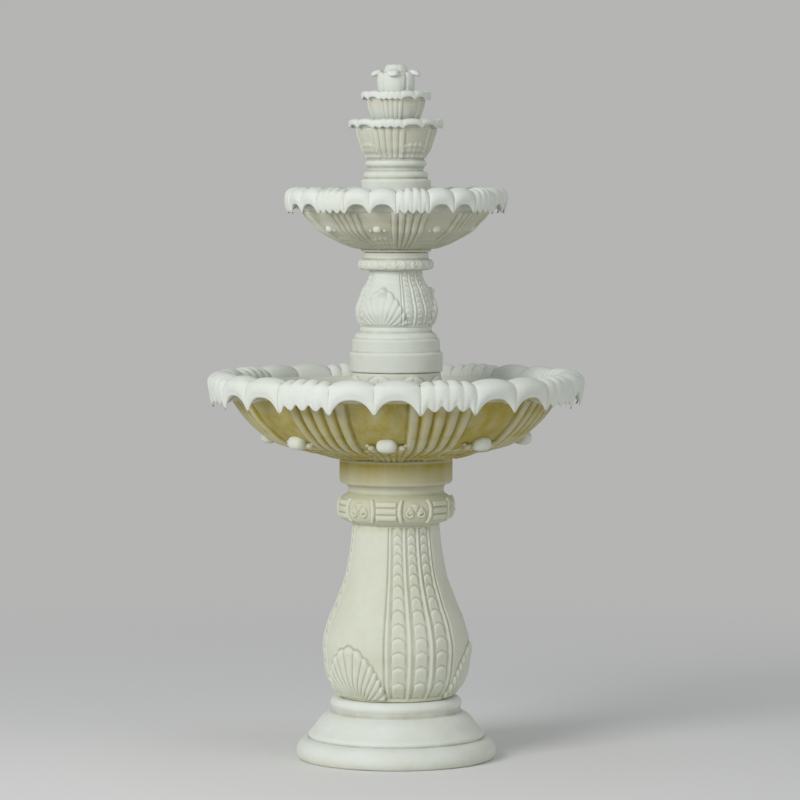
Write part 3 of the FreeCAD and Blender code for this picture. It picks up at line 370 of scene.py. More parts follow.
def scroll_pair(across, up, size):
    """Two mirrored round scrolls under a small palmette: spiral ridges follow the cosine of
    distance less turn, leaves the cosine of their lean."""
    x, y = np.abs(across) - size, up + size * 0.42
    far = np.hypot(x, y)
    spiral = 0.5 + 0.5 * np.cos(2 * np.pi * far / (size * 0.8) - np.arctan2(y, x))
    lobes = spiral * (1 - step_up(size * 0.85, size * 1.1, far)) + 0.7 * np.exp(-(far / (size * 0.32)) ** 2)
    rise = np.maximum(up + size * 0.35, 0.01)
    lean, reach = np.arctan2(across, rise), np.hypot(across, rise)
    leaves = np.abs(np.cos(lean * 2.6)) ** 0.7 * step_up(0.0, size * 0.6, reach)
    palmette = leaves * (1 - step_up(size * 1.5, size * 1.95, reach)) * (up > -size * 0.35)
    return np.maximum(lobes, palmette * 0.85)


def cartouche_band(angle, z, middle_z, half_height, radius, repeat, middle, depth):
    """Carved band: framed pairs of scrolls between thick curved bars, with three puffy level bars
    between the frames."""
    off = from_middle(angle, middle, repeat)
    degree = np.pi / 180 * radius
    up = (z - middle_z) / half_height
    reach = repeat * 0.275
    bar_at = reach - 2.6 * up ** 2
    bars = 1.25 * rod((np.abs(off) - bar_at) * degree, 4.6) * (np.abs(up) < 0.96)
    scrolls = scroll_pair(off * degree, up * half_height, half_height * 0.46) * (np.abs(off) < bar_at)
    level_bars = (rod((np.abs(up) - 0.6) * half_height, half_height * 0.24)
                  + rod(up * half_height, half_height * 0.26))
    spacer = level_bars * step_up(2.2, 4.2, np.abs(off) - reach)
    fade = 1 - step_up(0.9, 1.1, np.abs(up))
    return depth * (bars + scrolls + spacer * 0.9) * fade


def petals(angle, rim, turn):
    """Place of each angle in a rim's repeat: share across its petal from -1 to 1, whether the
    petal is fluted, and the number of flutes passed."""
    pitch = 360 / rim["groups"]
    local = (np.degrees(angle) - turn + rim["fluted"] / 2) % pitch
    fluted = local < rim["fluted"]
    across = np.where(fluted, local / rim["fluted"], (local - rim["fluted"]) / rim["plain"] % 1.0) * 2 - 1
    return across, fluted, np.where(fluted, local / rim["fluted"] * rim["flutes"], 0.0)


def drip_edge(across, fluted, flute, rim, sizes):
    """Depth of the drip edge below the crest: under a plain petal an arch of 1 - |t| to the
    power 2.7, under a fluted one teeth from 1 - |cos| with the end tips drawn down."""
    arch, tip, notch, tooth = sizes
    plain = arch + (tip - arch) * np.abs(across) ** 2.7
    teeth = tooth - (tooth - notch) * (1 - np.abs(np.cos(np.pi * flute)))
    ends = np.minimum(flute, rim["flutes"] - flute)
    return np.where(fluted, teeth + (tip - tooth) * np.exp(-(ends / 0.45) ** 2), plain)


def rim_ring(name, rim, turn, sizes, drips, columns, rows, settings, stain_and_shade):
    """Overhanging rim. Its section runs from the root under the lip, down the back of the skirt,
    round the drip edge, up the outer face, over the crest and down inside. Grooves between the
    petals sink the section by one less a mix of 1 - t^2 and its root, the root ruling on the face
    and the square on the crest. Flutes sink it by one less |sin| to the power 0.8, least half-way
    down the face."""
    root_r, root_z, rim_r, crest_r, crest_z, inner_r, inner_z = sizes
    angles = full_turn(columns)
    across, fluted, flute = petals(angles, rim, turn)
    drop = drip_edge(across, fluted, flute, rim, drips)
    for _ in range(3):
        drop = (np.roll(drop, 1) + 2 * drop + np.roll(drop, -1)) / 4
    lip = rim_r - root_r
    deep = settings.groove_depth * lip / 50
    round_top, round_sides = 1 - across ** 2, np.sqrt(np.clip(1 - across ** 2, 0, 1))
    soft, flat = 1 - 0.6 * round_top - 0.4 * round_sides, 1 - 0.2 * round_top - 0.8 * round_sides
    flutes = np.where(fluted, 1 - np.abs(np.sin(np.pi * flute)) ** 0.8, 0.0)
    petal_share = np.where(fluted, 0.85, 1.0)
    crest_sink = lambda petal, cut: deep * (soft * petal * petal_share + flutes * cut)
    face_sink = lambda petal, cut: deep * (flat * petal * petal_share + flutes * cut)
    tip_z = crest_z - drop
    root_depth = crest_z - root_z
    low = np.minimum(drop * 0.86, drop - lip * 0.1)
    slim = np.clip((drop - drips[0]) / (drips[1] - drips[0]), 0, 1)
    section = [
        (root_r + 0 * drop, root_z + 0 * drop),
        (root_r + lip * 0.22 + 0 * drop, crest_z - root_depth * 0.5 - low * 0.5 + lip * 0.06),
        (rim_r - lip * (0.40 - 0.12 * slim), crest_z - low * 0.97),
        (rim_r - lip * (0.27 - 0.1 * slim), tip_z + lip * 0.02),
        (rim_r - lip * 0.13 - face_sink(0.5, 0.4), tip_z),
        (rim_r - lip * 0.055 - face_sink(0.45, 0.3), tip_z + lip * 0.15 + (drop - lip) * 0.08),
        (rim_r - face_sink(0.5, 0.16), crest_z - drop * 0.42 - lip * 0.1),
        (rim_r - lip * 0.07 - crest_sink(0.85, 0.25), crest_z - lip * 0.24 - crest_sink(0.2, 0.15)),
        (rim_r - lip * 0.3 - crest_sink(0.8, 0.45), crest_z - lip * 0.06 - crest_sink(0.75, 0.5)),
        (crest_r + 0 * drop, crest_z - crest_sink(0.85, 0.55)),
        (crest_r - lip * 0.36 + crest_sink(0.4, 0.3), crest_z - lip * 0.09 - crest_sink(0.85, 0.5)),
        (inner_r + lip * 0.10 + crest_sink(0.55, 0.3), crest_z - lip * 0.34 - crest_sink(0.3, 0.2)),
        (inner_r + crest_sink(0.2, 0.1), inner_z + 0 * drop),
    ]
    knots = np.array([[np.broadcast_to(r, drop.shape), np.broadcast_to(z, drop.shape)] for r, z in section])
    grid = through(knots, rows)
    back = np.array([[inner_r + lip * 0.25 + 0 * drop, inner_z + 0 * drop],
                     [root_r - lip * 0.1 + 0 * drop, root_z + lip * 0.1 + 0 * drop]])
    grid = np.concatenate([grid, knots[-1:], back])
    radius = grid[:, 0] + hand_finish(angles, grid[:, 1], grid[:, 0])
    tint = None
    # Under the lip the rim takes the damp colour: stain, partly painted shade under the overhang.
    if stain_and_shade:
        under = 1 - step_up(0.0, 1.0, np.arange(len(grid)) / (rows * 0.2))
        tint = stain_and_shade * under[:, None] * np.ones(columns)[None, :]
        tint[-3:] = 0
    return ring_surface(name, radius, grid[:, 1], angles, tint)


def rib_fan(rim, turn, height, spread=1.37, ribs=5):
    """An odd number of convex ribs under each fluted petal: |cos| of the angle over the rib's
    width, no taller than about a third of that width."""
    width = rim["fluted"] * spread / ribs

    def relief(angle, z, r):
        off = from_middle(angle, turn, 360 / rim["groups"])
        inside = 1 - step_up(width * ribs / 2 - 0.25 * width, width * ribs / 2 + 0.05 * width, np.abs(off))
        tall = np.minimum(height, 0.36 * np.radians(width) * r)
        return tall * np.abs(np.cos(np.pi * off / width)) ** 0.6 * inside

    return relief


# --- materials ----------------------------------------------------------------------------------

def new_group(name, inputs, outputs):
    """Empty shader group with its sockets: inputs are (name, kind, default)."""
    group = bpy.data.node_groups.new(name, "ShaderNodeTree")
    for label, kind, default in inputs:
        socket = group.interface.new_socket(label, in_out="INPUT", socket_type=kind)
        socket.default_value = default
    for label, kind in outputs:
        group.interface.new_socket(label, in_out="OUTPUT", socket_type=kind)
    return group


def add(tree, kind, **values):
    """New node with the given attributes set."""
    node = tree.nodes.new(kind)
    for key, value in values.items():
        setattr(node, key, value)
    return node


def noise(tree, vector, scale, detail=4.0, roughness=0.55):
    node = add(tree, "ShaderNodeTexNoise")
    node.inputs["Scale"].default_value = scale
    node.inputs["Detail"].default_value = detail
    node.inputs["Roughness"].default_value = roughness
    tree.links.new(vector, node.inputs["Vector"])
    return node.outputs["Fac"]


def remap(tree, value, low, high, to_low=0.0, to_high=1.0):
    node = add(tree, "ShaderNodeMapRange", clamp=True)
    for socket, number in zip(("From Min", "From Max", "To Min", "To Max"), (low, high, to_low, to_high)):
        node.inputs[socket].default_value = number
    tree.links.new(value, node.inputs["Value"])
    return node.outputs["Result"]


def sum_of(tree, a, b, operation="ADD", clamp=False):
    node = add(tree, "ShaderNodeMath", operation=operation, use_clamp=clamp)
    for socket, value in zip(node.inputs, (a, b)):
        if isinstance(value, (int, float)):
            socket.default_value = value
        else:
            tree.links.new(value, socket)
    return node.outputs[0]


def tinted(tree, share, a, b, mode="MIX"):
    """Mix of two colours or colour sockets by a share socket."""
    node = add(tree, "ShaderNodeMix", data_type="RGBA", blend_type=mode)
    tree.links.new(share, node.inputs["Factor"])
    colours = [s for s in node.inputs if s.type == "RGBA"]
    for socket, value in zip(colours, (a, b)):
        if isinstance(value, bpy.types.NodeSocket):
            tree.links.new(value, socket)
        else:
            socket.default_value = value
    return [s for s in node.outputs if s.type == "RGBA"][0]


def stone_grain_group():
    """Cast stone's surface from object coordinates: broad mottling, fine sand grain and the odd
    air pit. Height feeds a bump, Mottle and Pits feed the colour, where the pits are painted shade."""
    group = new_group("stone_grain", [("Grain", "NodeSocketFloat", 1.0)],
                      [(name, "NodeSocketFloat") for name in ("Mottle", "Pits", "Height")])
    links = group.links
    into, out, where = group_ends(group)
    broad = noise(group, where, 9.0, 3.0)
    middle = noise(group, where, 55.0, 4.0)
    sand = noise(group, where, 620.0, 2.0, 0.6)
    soft = noise(group, where, 130.0, 3.0)
    cells = add(group, "ShaderNodeTexVoronoi", feature="F1")
    cells.inputs["Scale"].default_value = 120.0
    links.new(where, cells.inputs["Vector"])
    pit = remap(group, cells.outputs["Distance"], 0.05, 0.14, 1.0, 0.0)
    rare = remap(group, noise(group, where, 31.0, 1.0), 0.56, 0.62)
    pits = sum_of(group, pit, rare, "MULTIPLY")
    mottle = sum_of(group, sum_of(group, broad, 0.6, "MULTIPLY"), sum_of(group, middle, 0.4, "MULTIPLY"))
    relief = sum_of(group, sum_of(group, sand, 0.35, "MULTIPLY"), sum_of(group, soft, 0.8, "MULTIPLY"))
    height = sum_of(group, relief, sum_of(group, pits, 0.9, "MULTIPLY"), "SUBTRACT")
    links.new(mottle, out.inputs["Mottle"])
    links.new(pits, out.inputs["Pits"])
    links.new(sum_of(group, height, into.outputs["Grain"], "MULTIPLY"), out.inputs["Height"])
    return group


def weathering_and_shade_group():
    """Colour of weathered stone with painted shade. Damp undersides and water marks come from the
    stain value broken up by streaks; on the undersides the damp colour is also painted shade and
    ground-bounce light. Creases darken by the hollow value as painted shade, air pits darken the
    same way, and proud edges are paler."""
    colour = "NodeSocketColor"
    # The damp colour is damp stain and also painted shade and ground-bounce light on the undersides.
    colours = [("Clean", colour, (0.7, 0.7, 0.62, 1)), ("Damp and bounce", colour, (0.3, 0.24, 0.1, 1)),
               # The dirt colour is painted shade: creases and air pits are multiplied by it.
               ("Crease shade", colour, (0.35, 0.33, 0.24, 1)), ("Worn", colour, (0.8, 0.8, 0.76, 1))]
    masks = [("Mottle", "NodeSocketFloat", 0.5), ("Pits", "NodeSocketFloat", 0.0)]
    group = new_group("weathering_and_shade", colours + masks, [("Color", colour), ("Roughness", "NodeSocketFloat")])
    links = group.links
    into, out, where = group_ends(group)
    hollow = add(group, "ShaderNodeAttribute", attribute_name="hollow").outputs["Fac"]
    stain_and_shade = add(group, "ShaderNodeAttribute", attribute_name="stain_and_shade").outputs["Fac"]
    stretch = add(group, "ShaderNodeMapping", vector_type="POINT")
    stretch.inputs["Scale"].default_value = (38.0, 38.0, 4.0)
    links.new(where, stretch.inputs["Vector"])
    streaks = noise(group, stretch.outputs["Vector"], 1.0, 4.0, 0.6)
    clouds = noise(group, where, 14.0, 5.0, 0.6)
    mottled = tinted(group, remap(group, into.outputs["Mottle"], 0.35, 0.65, 0.0, 0.14),
                     into.outputs["Clean"], into.outputs["Damp and bounce"])
    broken = sum_of(group, remap(group, streaks, 0.25, 0.75, 0.76, 1.14),
                    remap(group, clouds, 0.25, 0.75, 0.86, 1.1), "MULTIPLY")
    # Damp stain mask; where it is high on the undersides it also paints shade and ground-bounce light.
    damp_and_bounce = sum_of(group, stain_and_shade, broken, "MULTIPLY", clamp=True)
    damp_and_bounce_mixed = tinted(group, damp_and_bounce, mottled, into.outputs["Damp and bounce"])
    # Painted shade in creases, from the hollow value, and in air pits below.
    crease = sum_of(group, remap(group, hollow, 0.1, 0.95, 0.0, 0.85),
                    remap(group, clouds, 0.3, 0.7, 0.5, 1.0), "MULTIPLY")
    crease_shaded = tinted(group, crease, damp_and_bounce_mixed, into.outputs["Crease shade"], "MULTIPLY")
    paler = tinted(group, remap(group, hollow, -0.3, -0.9, 0.0, 0.32), crease_shaded, into.outputs["Worn"])
    pitted = tinted(group, sum_of(group, into.outputs["Pits"], 0.6, "MULTIPLY"), paler, into.outputs["Crease shade"],
                    "MULTIPLY")
    links.new(pitted, out.inputs["Color"])
    links.new(remap(group, damp_and_bounce, 0.0, 1.0, 0.82, 0.6), out.inputs["Roughness"])
    return group


def new_material(name):
    """New material with its node tree and its Principled shader."""
    material = bpy.data.materials.new(name)
    material.use_nodes = True
    return material, material.node_tree, material.node_tree.nodes["Principled BSDF"]


def group_ends(group):
    """Input node, output node and object coordinates of a shader group."""
    ends = group.nodes.new("NodeGroupInput"), group.nodes.new("NodeGroupOutput")
    return (*ends, group.nodes.new("ShaderNodeTexCoord").outputs["Object"])


def stone_material(name, stone, clean=None):
    """Cast stone: colour of stains, wear and painted shade over sand grain."""
    material, tree, shader = new_material(name)
    grain = add(tree, "ShaderNodeGroup", node_tree=bpy.data.node_groups["stone_grain"])
    grain.inputs["Grain"].default_value = stone.grain
    weather = add(tree, "ShaderNodeGroup", node_tree=bpy.data.node_groups["weathering_and_shade"])
    for label, value in (("Clean", clean or stone.clean), ("Damp and bounce", stone.damp_and_bounce), ("Crease shade", stone.crease_shade),
                         ("Worn", stone.worn)):
        weather.inputs[label].default_value = (*value, 1.0)
    bump = add(tree, "ShaderNodeBump")
    bump.inputs["Strength"].default_value = 0.35
    bump.inputs["Distance"].default_value = 0.0012
    tree.links.new(grain.outputs["Mottle"], weather.inputs["Mottle"])
    tree.links.new(grain.outputs["Pits"], weather.inputs["Pits"])
    tree.links.new(grain.outputs["Height"], bump.inputs["Height"])
    tree.links.new(weather.outputs["Color"], shader.inputs["Base Color"])
    tree.links.new(weather.outputs["Roughness"], shader.inputs["Roughness"])
    tree.links.new(bump.outputs["Normal"], shader.inputs["Normal"])
    shader.inputs["Specular IOR Level"].default_value = 0.35
    return material


def plain_grain_group():
    """Fine moulded or spun grain for the small fittings: noise for bump and roughness."""
    number, colour = "NodeSocketFloat", "NodeSocketColor"
    group = new_group("fitting_grain",
                      [("Scale", number, 300.0), ("Rough", number, 0.4),
                       ("Colour", colour, (0.5, 0.5, 0.5, 1)), ("Worn", colour, (0.6, 0.6, 0.6, 1))],
                      [("Color", colour), ("Roughness", number), ("Height", number)])
    links = group.links
    into, out, where = group_ends(group)
    fine = add(group, "ShaderNodeTexNoise")
    links.new(where, fine.inputs["Vector"])
    links.new(into.outputs["Scale"], fine.inputs["Scale"])
    fine.inputs["Detail"].default_value = 3.0
    clouds = noise(group, where, 40.0, 4.0)
    links.new(tinted(group, remap(group, clouds, 0.4, 0.75, 0.0, 0.6), into.outputs["Colour"],
                     into.outputs["Worn"]), out.inputs["Color"])
    links.new(sum_of(group, into.outputs["Rough"], remap(group, clouds, 0.3, 0.7, -0.07, 0.09)),
              out.inputs["Roughness"])
    links.new(fine.outputs["Fac"], out.inputs["Height"])
    return group


def fitting_material(name, colour, worn, rough, metallic=0.0, scale=400.0, bump_depth=0.0002,
                     transmission=0.0):
    """Moulded plastic, rubber, sponge, ferrite or metal of a small fitting."""
    material, tree, shader = new_material(name)
    grain = add(tree, "ShaderNodeGroup", node_tree=bpy.data.node_groups["fitting_grain"])
    grain.inputs["Scale"].default_value = scale
    grain.inputs["Rough"].default_value = rough
    grain.inputs["Colour"].default_value = (*colour, 1.0)
    grain.inputs["Worn"].default_value = (*worn, 1.0)
    bump = add(tree, "ShaderNodeBump")
    bump.inputs["Strength"].default_value = 0.5
    bump.inputs["Distance"].default_value = bump_depth
    tree.links.new(grain.outputs["Height"], bump.inputs["Height"])
    tree.links.new(grain.outputs["Color"], shader.inputs["Base Color"])
    tree.links.new(grain.outputs["Roughness"], shader.inputs["Roughness"])
    tree.links.new(bump.outputs["Normal"], shader.inputs["Normal"])
    shader.inputs["Metallic"].default_value = metallic
    shader.inputs["Transmission Weight"].default_value = transmission
    return material


def finish_stone(things, body, node, material="pale cast stone"):
    """Gives the pieces of a casting their stone, its body and the frame node they stand for."""
    for thing in things:
        thing.data.materials.append(bpy.data.materials[material])
        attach(thing, body)
        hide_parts(node)


# Slot, material name, colour, worn colour, roughness, metallic, grain scale, bump depth in metres
# and transmission.
FITTING_FINISHES = (
    ("grey_plastic", "grey moulded plastic", (0.2, 0.21, 0.22), (0.28, 0.29, 0.3), 0.42),
    ("black_plastic", "black pump plastic", (0.018, 0.018, 0.02), (0.045, 0.045, 0.05), 0.38),
    ("white_plastic", "white moulded plastic", (0.78, 0.78, 0.75), (0.68, 0.68, 0.64), 0.35),
    ("clear_tube", "milky water tube", (0.7, 0.75, 0.73), (0.6, 0.66, 0.62), 0.22, 0.0, 80.0, 0.0002, 0.35),
    ("black_rubber", "black rubber", (0.016, 0.016, 0.016), (0.05, 0.05, 0.048), 0.72, 0.0, 900.0),
    ("sponge", "filter sponge", (0.03, 0.035, 0.05), (0.08, 0.09, 0.12), 0.95, 0.0, 260.0, 0.002),
    ("clamp_steel", "clamp steel", (0.56, 0.56, 0.55), (0.42, 0.42, 0.41), 0.32, 1.0, 700.0, 0.00005),
    ("nozzle_brass", "nozzle brass", (0.6, 0.42, 0.17), (0.3, 0.27, 0.13), 0.38, 1.0, 500.0, 0.00008),
    ("ferrite", "magnet ferrite", (0.06, 0.058, 0.058), (0.1, 0.09, 0.085), 0.6),
    ("shaft_ceramic", "shaft ceramic", (0.82, 0.81, 0.78), (0.76, 0.75, 0.7), 0.12),
)


# --- settings -----------------------------------------------------------------------------------

def colour_property(name, description, default):
    return FloatVectorProperty(name=name, description=description, subtype="COLOR", size=3, min=0, max=1,
                               default=default)


class FountainStone(bpy.types.PropertyGroup):
    """Colours and grain of the cast stone, with painted shade for creases, pits and undersides."""
    clean: colour_property("Clean stone", "Dry, clean cast stone", (0.665, 0.69, 0.59))
    pale: colour_property("Pale stone", "Rain-washed stone of rims and upper castings", (0.72, 0.757, 0.715))
    worn: colour_property("Worn edge", "Proud edges rubbed pale", (0.75, 0.775, 0.7))
    # Painted shade that creases and air pits keep.
    crease_shade: colour_property("Painted crease shade", "Share of light that creases keep", (0.52, 0.49, 0.39))
    # Damp stain, partly painted underside shade and ground-bounce light.
    damp_and_bounce: colour_property("Damp stain and painted bounce", "Mineral and algae stain on damp undersides", (0.385, 0.31, 0.045))
    grain: FloatProperty(name="Grain", description="Height of the sand grain", default=1.0, min=0, max=4)


class FountainCarving(bpy.types.PropertyGroup):
    """Depths of the carving, in millimetres."""
    rib_height: FloatProperty(name="Rib height", description="Ribs of the vases", default=3.0, min=0, max=8)
    husk_height: FloatProperty(name="Husk height", description="Scales between the ribs", default=3.4,
                               min=0, max=8)
    leaf_height: FloatProperty(name="Leaf height", description="Shell leaves of the vases", default=4.6,
                               min=0, max=10)
    groove_depth: FloatProperty(name="Groove depth", description="Grooves between petals on a 50 mm lip",
                                default=10.0, min=0, max=20)
    bowl_rib_height: FloatProperty(name="Bowl rib height", description="Ribs under the bowls", default=8.5,
                                   min=0, max=12)
    band_depth: FloatProperty(name="Band depth", description="Scrolls and bars of the bands", default=3.8,
                              min=0, max=8)


class FountainStage(bpy.types.PropertyGroup):
    """Floor, lamps and camera."""
    floor_colour: colour_property("Floor", "Plain pale floor", (0.78, 0.78, 0.77))
    backdrop: colour_property("Backdrop", "Plain backdrop that the floor fades into", (0.46, 0.46, 0.456))
    key_power: FloatProperty(name="Key lamp", description="Power of the large soft lamp", default=190.0,
                             min=0, unit="POWER")
    fill_power: FloatProperty(name="Fill lamp", description="Power of the fill lamp", default=28.0, min=0,
                              unit="POWER")
    sky: FloatProperty(name="Sky", description="Strength of the even light from all round", default=0.42,
                       min=0)
    camera_distance: FloatProperty(name="Camera distance", description="From the fountain's axis",
                                   default=8.27, min=1, unit="LENGTH")
    camera_height: FloatProperty(name="Camera height", description="Above the floor", default=1.251, min=0,
                                 unit="LENGTH")
    lens: FloatProperty(name="Lens", description="Focal length in millimetres", default=175.8, min=10)
    tilt: FloatProperty(name="Tilt", description="Camera tilt below level", default=math.radians(3.386),
                        subtype="ANGLE")


def stone_settings():
    return bpy.context.scene.fountain_stone


def carving_settings():
    return bpy.context.scene.fountain_carving


# --- operators ----------------------------------------------------------------------------------

class FOUNTAIN_OT_materials(bpy.types.Operator):
    """Stone and fitting materials, and the fittings' own finishes"""
    bl_idname = "fountain.materials"
    bl_label = "Materials"

    def execute(self, context):
        stone = stone_settings()
        stone_grain_group()
        weathering_and_shade_group()
        plain_grain_group()
        stone_material("cast stone", stone)
        stone_material("pale cast stone", stone, stone.pale)
        finishes = {slot: fitting_material(*values) for slot, *values in FITTING_FINISHES}
        slots = {part["node"]: part["material_slot"] for part in frame["record"]["subparts"]}
        for node, thing in frame["nodes"].items():
            material = finishes.get(slots[node], bpy.data.materials["cast stone"])
            thing.data.materials.clear()
            thing.data.materials.append(material)
        return {"FINISHED"}


class FOUNTAIN_OT_foot(bpy.types.Operator):
    """Stepped round foot with the cord notch at the back"""
    bl_idname = "fountain.foot"
    bl_label = "Foot"

    def execute(self, context):
        low, top = level("base_foot")
        shape = outline(
            [line((195, low), (206, low), step=4),
             curve((207, low), (210, 4), (212.3, 12), (211.2, 22), (207, 32), (200, 39.5), (190, 44)),
             line((190, 44), (184.5, 45)),
             curve((184.5, 45), (186.3, 46.8), (187.5, 50), (186.8, 53.5), (183, 58), (176, 65), (170, 73),
                   (162.7, 84), (152, 93.5), (144, 97.5), (138.5, 101), (137.3, 105)),
             line((137.3, 105), (137.5, 112.2)),
             curve((137.8, 112.6), (139.6, 115), (140, 120), (137.2, 126), (131.5, 130.4), (129, top))],
            [line((129, top), (108, top), (108, 84.5), step=8),
             line((108, 84.5), (157.5, 48), (192.3, 24), step=12),
             line((192.3, 24), (192.3, low), step=8)], soften=2)
        angles = turn_with_dense(400, [math.pi], math.radians(3.2), 60)

        def notch(angle, z):
            """Raises the lowest 40 mm over an arch 18 mm wide and 15 mm high at the back."""
            off = from_middle(angle, 180.0, 360.0) * math.pi / 180 * 205
            arch = 15 * np.sqrt(np.clip(1 - (off / 9) ** 6, 0, 1)) * rod(off * 0.62, 9)
            return np.where(z < 40, arch + z * (1 - arch / 40), z)

        stain_and_shade = lambda angle, z, r: 0.22 * (1 - step_up(0, 26, z)) + 0 * angle
        thing = carved_ring("foot", shape, angles, stain_and_shade=stain_and_shade, lift=notch)
        finish_stone([thing], "pedestal", "base_foot")
        return {"FINISHED"}


class FOUNTAIN_OT_pedestal(bpy.types.Operator):
    """Carved vase of the pedestal, and its band and collar"""
    bl_idname = "fountain.pedestal"
    bl_label = "Pedestal"

    def execute(self, context):
        carving = carving_settings()
        z, top = level("pedestal_vase")[0] + SPIGOT_DEPTH, level("pedestal_vase")[1]
        split = top - HEAD_HEIGHT
        shape = outline(
            [line((121, z + 0.4), (122, z + 1.6), step=1),
             curve((122.5, z + 2), (126.5, z + 8), (131.5, z + 15), (138.5, z + 24), (144, z + 33),
                   (148, z + 43), (151, z + 54), (154.2, z + 80), (156.2, z + 105), (154.3, z + 128),
                   (150, z + 145), (142, z + 171), (130.3, z + 197), (121, z + 222), (111.3, z + 248),
                   (104.3, z + 276), (98.9, z + 307), (95.6, z + 333), (93.2, z + 355), (92, split),
                   step=2.45)],
            [line((92, split), (73, split), step=10),
             line((73, split), (90, z + 255), (128, z + 154), (137, z + 105), (93, z + 20), step=20),
             line((93, z + 20), (93, z - SPIGOT_DEPTH), (107, z - SPIGOT_DEPTH), (107, z + 0.4),
                  (121, z + 0.4), step=10)], soften=1)
        depths = (carving.rib_height, carving.husk_height, carving.leaf_height)
        relief = vase_relief(depths, PEDESTAL_BAND_ANGLE, 140.0, z + 4, split - 2, (17.0, 37.0),
                             (z - 16, 131.0, 62.0, 10.5))
        stain_and_shade = lambda angle, height, r: (0.2 * (1 - step_up(z, z + 30, height))
                                          + 0.25 * step_up(split - 22, split, height) + 0 * angle)
        vase = carved_ring("pedestal_vase_body", shape, full_turn(516), relief, stain_and_shade)
        finish_stone([vase], "pedestal", "pedestal_vase", "cast stone")

        head = outline(
            [line((88, split - 3), (97, split + 0.5), step=1.8),
             curve((98, split + 1), (104, split + 3.5), (112, split + 8), (117.8, split + 15),
                   (120.6, split + 22), (121.2, split + 31), (121, split + 42), (118.8, split + 50),
                   (112.5, split + 57), (106.5, split + 60.5), (102.5, split + 64), (101.5, split + 70),
                   (102, top - 63), (105, top - 58.5), (111, top - 55.5), (117.5, top - 53.5),
                   (119.4, top - 50), (119.8, top - 46), step=1.5),
             line((119.8, top - 46), (119.8, top - 1.2), step=2)],
            [line((119.8, top - 0.2), (99, top - 0.2), (99, top - 22), (73, top - 50), step=10),
             line((73, top - 50), (73, split - 3), (88, split - 3), step=16)], soften=1)
        band_z = split + 32

        def band_relief(angle, height, r):
            return cartouche_band(angle, height, band_z, 24.0, 120.0, 60.0, 20.0, carving.band_depth)

        def water_mark(angle, height, r):
            """Rust-brown run-off under the bowl, darkest at its top, and dirt in the band."""
            run_off = np.exp(-np.maximum(top - height, 0) / 26) + 0.16
            return run_off * step_up(top - 60, top - 50, height) + 0.2 + 0 * angle

        collar = carved_ring("pedestal_band_and_collar", head, full_turn(640), band_relief, water_mark)
        finish_stone([collar], "pedestal", "pedestal_vase", "cast stone")
        return {"FINISHED"}


def bowl_body(name, columns, seat, under, inside, relief, stain_and_shade):
    """Wall and floor of a bowl below its rim: the underside run goes out and up, the inside run
    comes back down to the floor."""
    shape = outline([seat, under], inside, soften=1)
    return carved_ring(name, shape, full_turn(columns), relief, stain_and_shade)


def knobs_under(name, rim, turn, ring, height, sizes, side, side_sizes, stain_and_shade_values):
    """Oval knobs under the middle of each pair of plain petals, with a curled leaf tip of two
    lumps each side. The last argument gives the knob's and the leaf tips' levels of damp stain and painted
    underside shade."""
    grids, shades = [], []
    for n in range(rim["groups"]):
        middle = math.radians(turn + (n + 0.5) * 360 / rim["groups"])
        grids.append(block_grid((ring, height), sizes, middle, power=0.82))
        for way in (-1, 1):
            for share, lift, out in ((1.0, -0.35, 0.0), (0.62, 0.0, 1.1)):
                lean = middle + way * (side + side_sizes[0] * out) / ring
                grids.append(block_grid((ring - sizes[1] * 0.35, height + sizes[2] * lift),
                                        [share * size for size in side_sizes], lean, power=0.9, rows=10,
                                        columns=14))
        shades += [stain_and_shade_values[0]] + [stain_and_shade_values[1]] * 4
    return solid_from_grids(name, grids, shades)


def foot_leaves(rim, turn, depth, inner, outer):
    """Small fans of five leaves low on the underside beneath each knob: |cos| across the fan,
    rippled along it."""

    def relief(angle, z, r):
        off = from_middle(angle, turn + 180 / rim["groups"], 360 / rim["groups"])
        half = 360 / rim["groups"] * 0.27
        share = np.clip((r - inner) / (outer - inner), 0, 1)
        leaf = np.abs(np.cos(np.pi * off / half * 2.5)) ** 0.6
        edge = step_up(0.02, 0.25, 1 - share - 0.35 * (off / half) ** 2 + 0.12 * leaf)
        ripple = 0.75 + 0.25 * np.cos(share * 16)
        return depth * (0.35 + 0.65 * leaf) * edge * ripple * (np.abs(off) < half) * (share < 1)

    return relief


